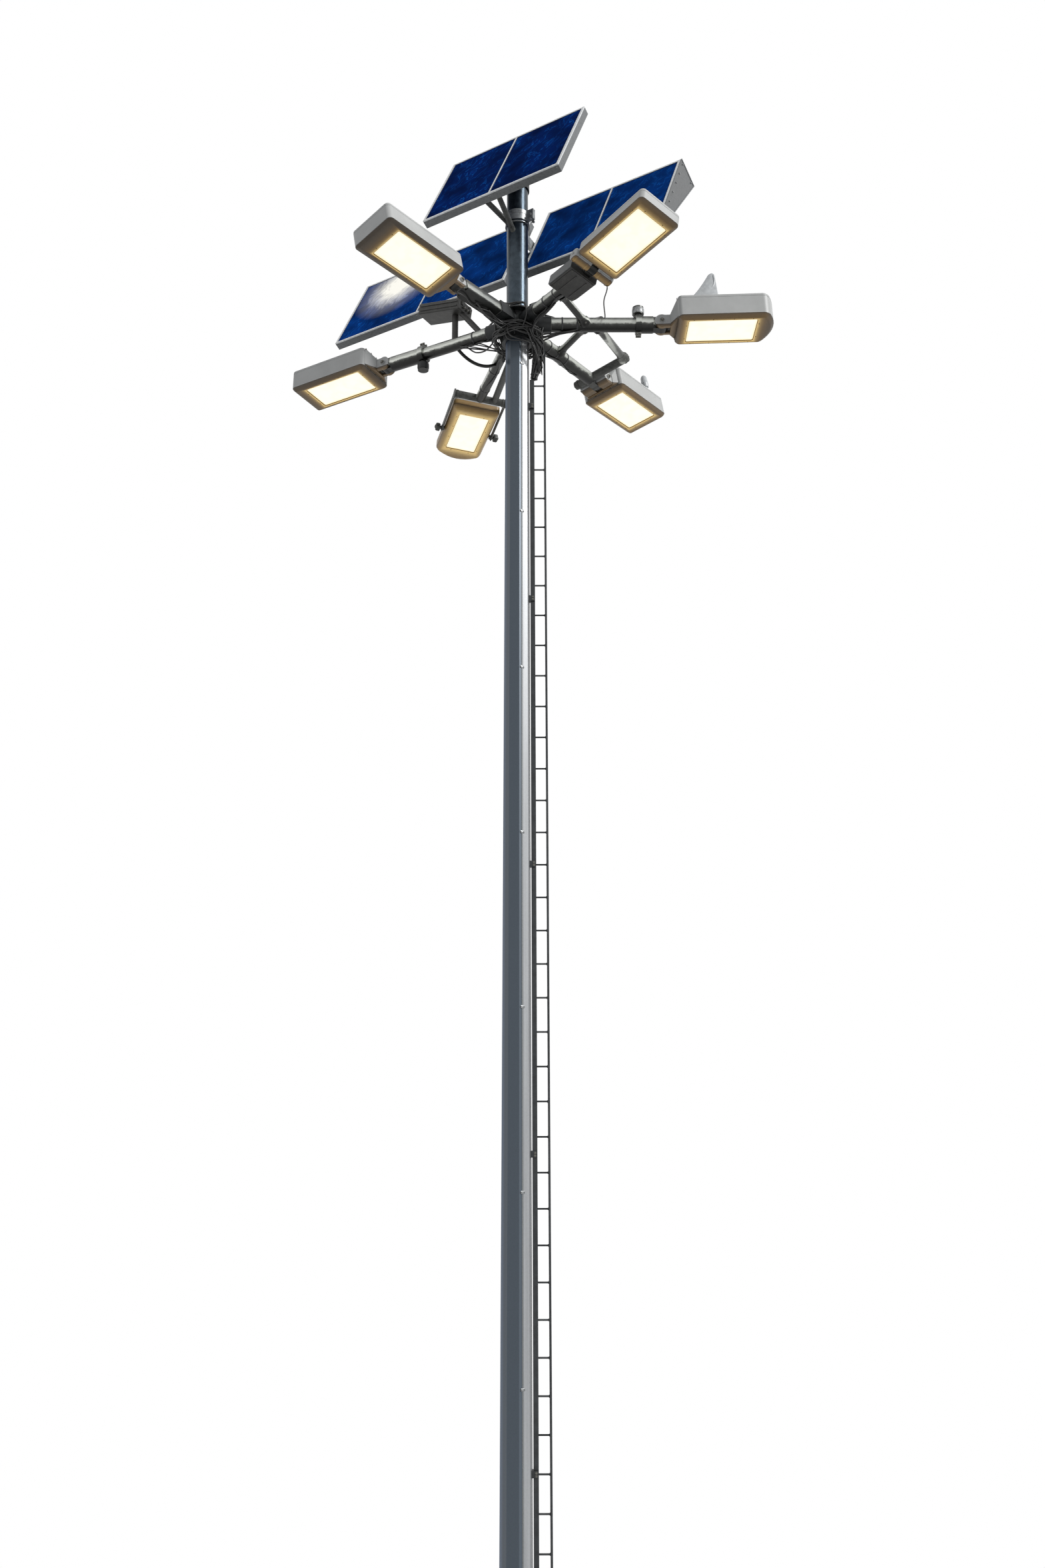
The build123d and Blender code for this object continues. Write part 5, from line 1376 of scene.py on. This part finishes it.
def right_box(thread):
    """Cover plate under the box with two ribs and its screws."""
    centre, _, axes = axes_of("gear_box_right")
    local = (points_of("gear_box_right") - centre) @ axes.T
    bottom = local[local[:, 2] < local[:, 2].min() + MM]
    middle = bottom.mean(0)
    order = np.argsort(np.arctan2(bottom[:, 1] - middle[1], bottom[:, 0] - middle[0]))
    inward = (0.93, 0.93, 0)
    outline = middle + (bottom[order] - middle) * inward
    solids = [plate(place(centre, axes, outline - (0, 0, 2 * MM)), axes[2], 5 * MM)]
    for y in (-60, 60):
        spot = middle + np.array([0, y, -6]) * MM
        solids.append(block(place(centre, axes, spot), axes, (0.8 * np.ptp(bottom[:, 0]), 10 * MM, 9 * MM)))
    piece("gear_box_right_cover", solids, "boxes", slot="box_paint")
    screws = []
    for point in outline[::max(1, len(outline) // 8)]:
        spot = middle + (point - middle) * inward
        screws += bolt(place(centre, axes, spot - (0, 0, 4 * MM)), -axes[2], thread)
    piece("gear_box_right_fixings", screws, "dark_bolts", slot="bare_metal")


class TOWER_OT_arrays(bpy.types.Operator):
    """Model the backsheets, junction boxes, screws and fixings of the solar arrays"""
    bl_idname = "tower.arrays"
    bl_label = "Arrays"

    def execute(self, context):
        sizes = context.scene.tower_sizes
        for name in ARRAYS:
            array_back(name)
            array_screws(name)
        beam_fixings(sizes.clamp_bolt)
        mount_bolts(sizes.hub_bolt)
        end_plate_screws(sizes.clamp_bolt)
        return {"FINISHED"}


def array_panes(name):
    """Centre, half sizes and axes of an array's frame, and the range of each pane along its length."""
    axes = axes_of(name + "_array_glass")[2]
    low, high = local_box(name + "_array_frame", np.zeros(3), axes)
    centre = (low + high) / 2 @ axes
    local = (points_of(name + "_array_glass") - centre) @ axes.T
    x = np.sort(local[:, 0])
    ends = [group.mean() for group in np.split(x, np.flatnonzero(np.diff(x) > 5 * MM) + 1)]
    return centre, (high - low) / 2, axes, np.reshape(ends, (-1, 2))


def array_back(name):
    """White film behind each pane, its junction box, and the lead from the box to the array's middle."""
    centre, half, axes, edges = array_panes(name)
    films = []
    boxes = []
    face = half[2]
    rise = np.sign(axes[1][2]) * half[1]
    for low, high in edges:
        middle = (low + high) / 2
        films.append(block(place(centre, axes, (middle, 0, face - 18 * MM)), axes,
                           (high - low - 4 * MM, 2 * half[1] - 54 * MM, 3 * MM), MM))
        spot = (middle, 0.62 * rise, face - 30 * MM)
        boxes.append(block(place(centre, axes, spot), axes, (130 * MM, 100 * MM, 24 * MM), 4 * MM))
        lead = [(middle + 40 * MM, 0.55 * rise, face - 34 * MM),
                (middle + 44 * MM, 0.45 * rise, face - 26 * MM),
                (middle + 20 * MM, 0.2 * rise, face - 24 * MM),
                (middle * 0.5, 0.05 * rise, face - 50 * MM), (0, 0, face - 78 * MM)]
        boxes.append(tube(place(centre, axes, curve(lead, 6)), 4 * MM))
    piece(name + "_backsheets", films, "backsheet", slot="array_frame")
    piece(name + "_junction_boxes", boxes, "abs", slot="box_paint")


def array_screws(name):
    """Screws in both long sides of an array's frame, at each pane's ends, and a bead round each pane."""
    centre, half, axes, edges = array_panes(name)
    screw = scaled([(-1, 5, 0), (2, 5, 0), (3, 3, 0)], MM)
    solids = []
    for side in (-1, 1):
        for x in edges.ravel():
            spot = place(centre, axes, (x, side * half[1], half[2] - 30 * MM))
            solids.append(turned(screw, spot, side * axes[1], 10))
    piece(name + "_frame_screws", solids, "bolts", slot="array_frame")
    beads = []
    for low, high in edges:
        x, y = rounded_rectangle((high - low) / 2 - 2 * MM, half[1] - 27 * MM, 3 * MM, 3)
        path = np.stack([x[0] + (low + high) / 2, y[0], 0 * x[0] + half[2] - 4 * MM], -1)
        beads.append(closed_tube(place(centre, axes, path), 3 * MM, 6))
    piece(name + "_glazing_bead", beads, "gasket_black", slot="array_frame")


def beam_fixings(thread):
    """U-bolts that hold the frames of the lower arrays to the beam, each with a saddle plate: half a circle
    round the beam with straight legs."""
    reach = 50 * MM
    bolts = []
    saddles = []
    for name in ("left", "right"):
        centre, half, axes, edges = array_panes(name)
        back = -half[2]
        for x in (edges[0][0] + 60 * MM, edges[0][1] + 9 * MM, edges[1][1] - 130 * MM):
            angle = np.linspace(-0.5 * np.pi, 0.5 * np.pi, 13)
            bow = np.stack([0 * angle + x, reach * np.sin(angle), back - 45 * MM - reach * np.cos(angle)], -1)
            legs = [[(x, side * reach, back - 2 * MM)] for side in (-1, 1)]
            bolts.append(tube(place(centre, axes, np.concatenate([legs[0], bow, legs[1]])), 0.5 * thread))
            saddle = place(centre, axes, (x, 0, back - 3 * MM))
            saddles.append(block(saddle, axes, (60 * MM, 150 * MM, 8 * MM)))
            for side in (-1, 1):
                foot = place(centre, axes, (x, side * reach, back - 7 * MM))
                bolts += stud(foot, -axes[2], thread)
                foot = place(centre, axes, (x + 18 * MM, side * 66 * MM, back - 7 * MM))
                bolts += bolt(foot, -axes[2], thread)
    piece("beam_u_bolts", bolts, "bolts", slot="bare_metal")
    piece("beam_saddles", saddles, "clamp", slot="weathered_steel")


def mount_bolts(thread):
    """Bolts of the upper array's rail, and of the clamp lugs on the tube, with the clamp's two bands."""
    centre, half, axes, _ = array_panes("upper")
    rail = -half[2] - 60 * MM
    solids = []
    for x in np.linspace(-0.72, 0.72, 6) * half[0]:
        solids += stud(place(centre, axes, (x, 0, rail)), -axes[2], thread)
    across = array_panes("right")[2][0]
    behind = np.cross(UP, across)
    clamp = points_of("lower_clamp")
    middle = np.array([0, 0, (clamp[:, 2].min() + clamp[:, 2].max()) / 2])
    lug = middle + 175 * MM * across
    for side in (-1, 1):
        for rise in (-28, 28):
            solids += stud(lug + side * 20 * MM * behind + rise * MM * UP, side * behind, thread)
    for rise in (-48, 48):
        solids.append(band(middle + rise * MM * UP, UP, 121 * MM, 8 * MM, 4 * MM))
    piece("clamp_bolts", solids, "bolts", slot="bare_metal")


def end_plate_screws(thread):
    """Screws along the upper edge of the deep end plate and at its lower corner, and a rolled rim along its
    sloping lower edge and its far end."""
    centre, _, axes, _ = array_panes("right")
    low, high = local_box("right_array_end_plate", centre, axes)
    spots = [(y, high[2] - 42 * MM) for y in np.linspace(low[1] + 40 * MM, high[1] - 40 * MM, 7)]
    spots.append((high[1] - 40 * MM, low[2] + 60 * MM))
    solids = []
    for y, z in spots:
        solids += bolt(place(centre, axes, (high[0], y, z)), axes[0], thread)
    piece("end_plate_screws", solids, "bolts", slot="array_frame")
    skin = high[0] + 2 * MM
    lines = (((skin, low[1], high[2] - 84 * MM), (skin, high[1], low[2])),
             ((skin, high[1] - 3 * MM, high[2]), (skin, high[1] - 3 * MM, low[2])))
    rims = [tube(np.linspace(*place(centre, axes, line), 6), 5 * MM) for line in lines]
    piece("end_plate_rim", rims, "bolts", slot="array_frame")


class TOWER_OT_mast(bpy.types.Operator):
    """Model the anchor studs, handhole fittings, ladder bolts and earthing strap of the mast"""
    bl_idname = "tower.mast"
    bl_label = "Mast and ladder"

    def execute(self, context):
        sizes = context.scene.tower_sizes
        anchor_studs(sizes.anchor_stud)
        handhole_fittings(sizes.clamp_bolt)
        ladder_bolts(sizes.clamp_bolt)
        rung_beads(sizes.weld)
        earth_strap(sizes.clamp_bolt)
        return {"FINISHED"}


def anchor_studs(thread):
    """Washer, two nuts and the stud's end at each hole of the flange."""
    pattern = MOUNTS["anchor_bolts"]["dims"]
    reach = pattern["pcd_mm"] * MM / 2
    washer = scaled([(0, 1.25, 0), (0.18, 1.25, 0)], thread)
    nut = scaled([(1.0, 0.85, 1), (1.5, 0.85, 1), (1.54, 0.74, 0)], thread)
    solids = []
    for index in range(pattern["count"]):
        angle = np.radians(BOLT_TURN + 360 * index / pattern["count"])
        foot = np.array([reach * np.cos(angle), reach * np.sin(angle), FLANGE])
        solids.append(turned(washer, foot, UP, 24))
        solids += stud(foot + 0.18 * thread * UP, UP, thread, 0.9)
        solids.append(turned(nut, foot + 0.2 * thread * UP, UP, 12))
    piece("anchor_studs", solids, "bolts", slot="bare_metal")


def handhole_fittings(thread):
    """Corner screws and lock of the handhole's cover, and the earthing boss below it."""
    points = points_of("handhole_door")
    azimuth = np.radians(MAST_TURN + 22.5 - 135)
    out = np.array([np.cos(azimuth), np.sin(azimuth), 0])
    side = np.cross(UP, out)
    face = (points @ out).max()
    middle = face * out + UP * (points[:, 2].min() + points[:, 2].max()) / 2
    tall = np.ptp(points[:, 2]) / 2
    solids = []
    for rise in (-1, 1):
        for across in (-1, 1):
            spot = middle + across * 32 * MM * side + rise * (tall - 20 * MM) * UP
            solids += bolt(spot, out, 0.8 * thread)
    lock = scaled([(0, 15, 0), (5, 15, 0), (6, 13, 0), (6, 7, 1), (10, 7, 1)], MM)
    solids.append(turned(lock, middle + 24 * MM * side, out, 24))
    boss = 350 * MM * UP + out * (face - 12 * MM)
    solids.append(block(boss, (side, UP, out), (46 * MM, 46 * MM, 34 * MM)))
    solids += bolt(boss + 17 * MM * out, out, 1.2 * thread)
    piece("handhole_fittings", solids, "bolts", slot="bare_metal")


def ladder_bolts(thread):
    """Bolts through both cheeks of every ladder bracket."""
    points = points_of("ladder_brackets")
    levels = np.round(points[:, 2] / 0.5)
    solids = []
    for level in np.unique(levels):
        near = points[levels == level]
        middle = (near.max(0) + near.min(0)) / 2
        for side in (-1, 1):
            for step in (-12, 12):
                spot = (near[:, 0].max() - 20 * MM, side * near[:, 1].max(), middle[2] + step * MM)
                solids += bolt(spot, (0, side, 0), thread)
    piece("ladder_bolts", solids, "dark_bolts", slot="bare_metal")


def rung_beads(width):
    """Weld bead round the outer end of every rung."""
    points = points_of("ladder")
    top = LADDER_TOP - 60 * MM
    solids = []
    for index in range(int((top - 500 * MM) // RUNG_PITCH) + 1):
        height = top - RUNG_PITCH * index
        path = ring_path((rung_reach(points, height), 0, height), (1, 0, 0), 9 * MM, 12)
        solids.append(closed_tube(path, 0.35 * width, 6))
    piece("rung_welds", solids, "ladder", slot="galvanised")


def rung_reach(points, height):
    """Where the inner face of the outer stile stands at a height, found from the two ends of the stile."""
    high = points[points[:, 2] > points[:, 2].max() - 50 * MM]
    low = points[points[:, 2] < points[:, 2].min() + 50 * MM]
    low = low[low[:, 0] > low[:, 0].max() - 40 * MM]
    inner = [low[:, 0].min(), high[:, 0].min()]
    return np.interp(height, [low[:, 2].mean(), high[:, 2].mean()], inner) - 2 * MM


def earth_strap(thread):
    """Flat earthing strap down one face of the mast, from the hub to the flange, on saddles."""
    azimuth = np.radians(MAST_TURN + 22.5 - 90)
    out = np.array([np.cos(azimuth), np.sin(azimuth), 0])
    side = np.cross(UP, out)
    spans = (("mast_shaft", 3.3, 14.75), ("mast_lower_section", 0.3, 3.1))
    straps = []
    saddles = []
    for node, *heights in spans:
        low, high = ((mast_ring(node, height, 0) @ out).max() * out + height * UP - 16 * MM * side
                     for height in heights)
        length = np.linalg.norm(high - low)
        run = unit(high - low)
        normal = np.cross(side, run)
        straps.append(block((low + high) / 2, (side, -normal, run), (16 * MM, 7 * MM, length), MM))
        for share in np.linspace(0.02, 0.98, max(2, int(length / 1.4))):
            spot = low + (high - low) * share
            saddles.append(block(spot + 2 * MM * normal, (side, run, normal), (44 * MM, 24 * MM, 8 * MM)))
            for step in (-15, 15):
                saddles += bolt(spot + 6 * MM * normal + step * MM * side, normal, 0.6 * thread)
    piece("earth_strap", straps, "weld", slot="galvanised")
    piece("strap_saddles", saddles, "bolts", slot="bare_metal")


class TOWER_OT_stage(bpy.types.Operator):
    """Set the floor, the light and the camera"""
    bl_idname = "tower.stage"
    bl_label = "Stage"

    def execute(self, context):
        floor_disc()
        studio_light()
        tower_camera()
        return {"FINISHED"}


def studio_paint(name):
    """Matt white paint of the studio floor, almost even, with clouds about 330 mm wide."""
    material, tree, shader, coordinates = new_material(name, Roughness=0.9)
    grain = add(tree, "TexNoise", {"Vector": coordinates}, Scale=3 / (1000 * MM))
    tone = add(tree, "ValToRGB", {"Fac": grain}, [(0.3, linear("#e9e9e7")), (0.7, linear("#efefed"))])
    feed(tree, shader, Base_Color=tone)
    return material


def floor_disc():
    """Round floor 14 m across, just under the flange."""
    points, faces = turned([(-50 * MM, 7.0, 0), (-2 * MM, 7.0, 0)], (0, 0, 0), UP, 96)
    mesh = bpy.data.meshes.new("floor")
    mesh.from_pydata(points.tolist(), [], faces)
    floor = bpy.data.objects.new("floor", mesh)
    bpy.context.scene.collection.objects.link(floor)
    mesh.materials.append(studio_paint("matt_white_paint"))


def studio_light():
    """White surround that the eye, gloss and glass see, a dimmer one that lights the tower, a broad
    key from the right and a faint fill."""
    world = bpy.data.worlds.new("studio")
    world.use_nodes = True
    bpy.context.scene.world = world
    tree = world.node_tree
    tree.nodes.clear()
    path = add(tree, "LightPath").outputs
    seen = path["Is Camera Ray"]
    for ray in (path["Is Glossy Ray"], path["Is Transmission Ray"]):
        seen = add(tree, "Math", {0: seen, 1: ray}, operation="MAXIMUM")
    lighting = add(tree, "Background", Strength=0.34, Color=(*linear("#eceef2"), 1))
    backdrop = add(tree, "Background", Strength=1.0, Color=(1, 1, 1, 1))
    mixed = add(tree, "MixShader", {0: seen, 1: lighting, 2: backdrop})
    output = add(tree, "OutputWorld", {"Surface": mixed})
    output.is_active_output = True
    lamps = (("key", -28, 30, 2.5, 12), ("fill", -160, 10, 0.25, 40))
    for name, azimuth, elevation, strength, spread in lamps:
        sun = bpy.data.lights.new(name, "SUN")
        sun.energy = strength
        sun.angle = np.radians(spread)
        lamp = bpy.data.objects.new(name, sun)
        lamp.rotation_euler = (np.radians(90 - elevation), 0, np.radians(azimuth + 90))
        bpy.context.scene.collection.objects.link(lamp)


def tower_camera():
    """Camera 12 m in front of the mast at half its height, looking up."""
    camera = bpy.data.cameras.new("camera")
    camera.lens = 30.61
    camera.sensor_width = 36.0
    camera.clip_end = 200.0
    obj = bpy.data.objects.new("camera", camera)
    obj.location = (0.052, -12.018, 7.552)
    obj.rotation_euler = (np.radians(102.79), 0, 0)
    bpy.context.scene.collection.objects.link(obj)
    bpy.context.scene.camera = obj
    bpy.context.scene.view_settings.view_transform = "Standard"


class TOWER_PT_panel(bpy.types.Panel):
    """Panel that lists the tower's colours, sizes and operators"""
    bl_label = "Tower"
    bl_idname = "TOWER_PT_panel"
    bl_space_type = "VIEW_3D"
    bl_region_type = "UI"
    bl_category = "Tower"

    def draw(self, context):
        for group in (context.scene.tower_colours, context.scene.tower_sizes):
            for name in group.__annotations__:
                self.layout.prop(group, name)
        for operator in OPERATORS:
            self.layout.operator(operator.bl_idname)


OPERATORS = (TOWER_OT_finishes, TOWER_OT_castings, TOWER_OT_head_fittings, TOWER_OT_hub, TOWER_OT_cables,
             TOWER_OT_braces, TOWER_OT_gear_boxes, TOWER_OT_arrays, TOWER_OT_mast, TOWER_OT_stage)
CLASSES = (TowerColours, TowerSizes) + OPERATORS + (TOWER_PT_panel,)


def register():
    """Add the classes, and the tower's values to every scene."""
    for cls in CLASSES:
        bpy.utils.register_class(cls)
    bpy.types.Scene.tower_colours = bpy.props.PointerProperty(type=TowerColours)
    bpy.types.Scene.tower_sizes = bpy.props.PointerProperty(type=TowerSizes)


def unregister():
    """Take away what register adds."""
    del bpy.types.Scene.tower_sizes
    del bpy.types.Scene.tower_colours
    for cls in reversed(CLASSES):
        bpy.utils.unregister_class(cls)


def main():
    """Make the whole tower."""
    register()
    for operator in OPERATORS:
        result = getattr(bpy.ops.tower, operator.bl_idname.split(".")[1])()
        if result != {"FINISHED"}:
            raise RuntimeError(operator.bl_label + " did not finish")


if __name__ == "__main__":
    main()
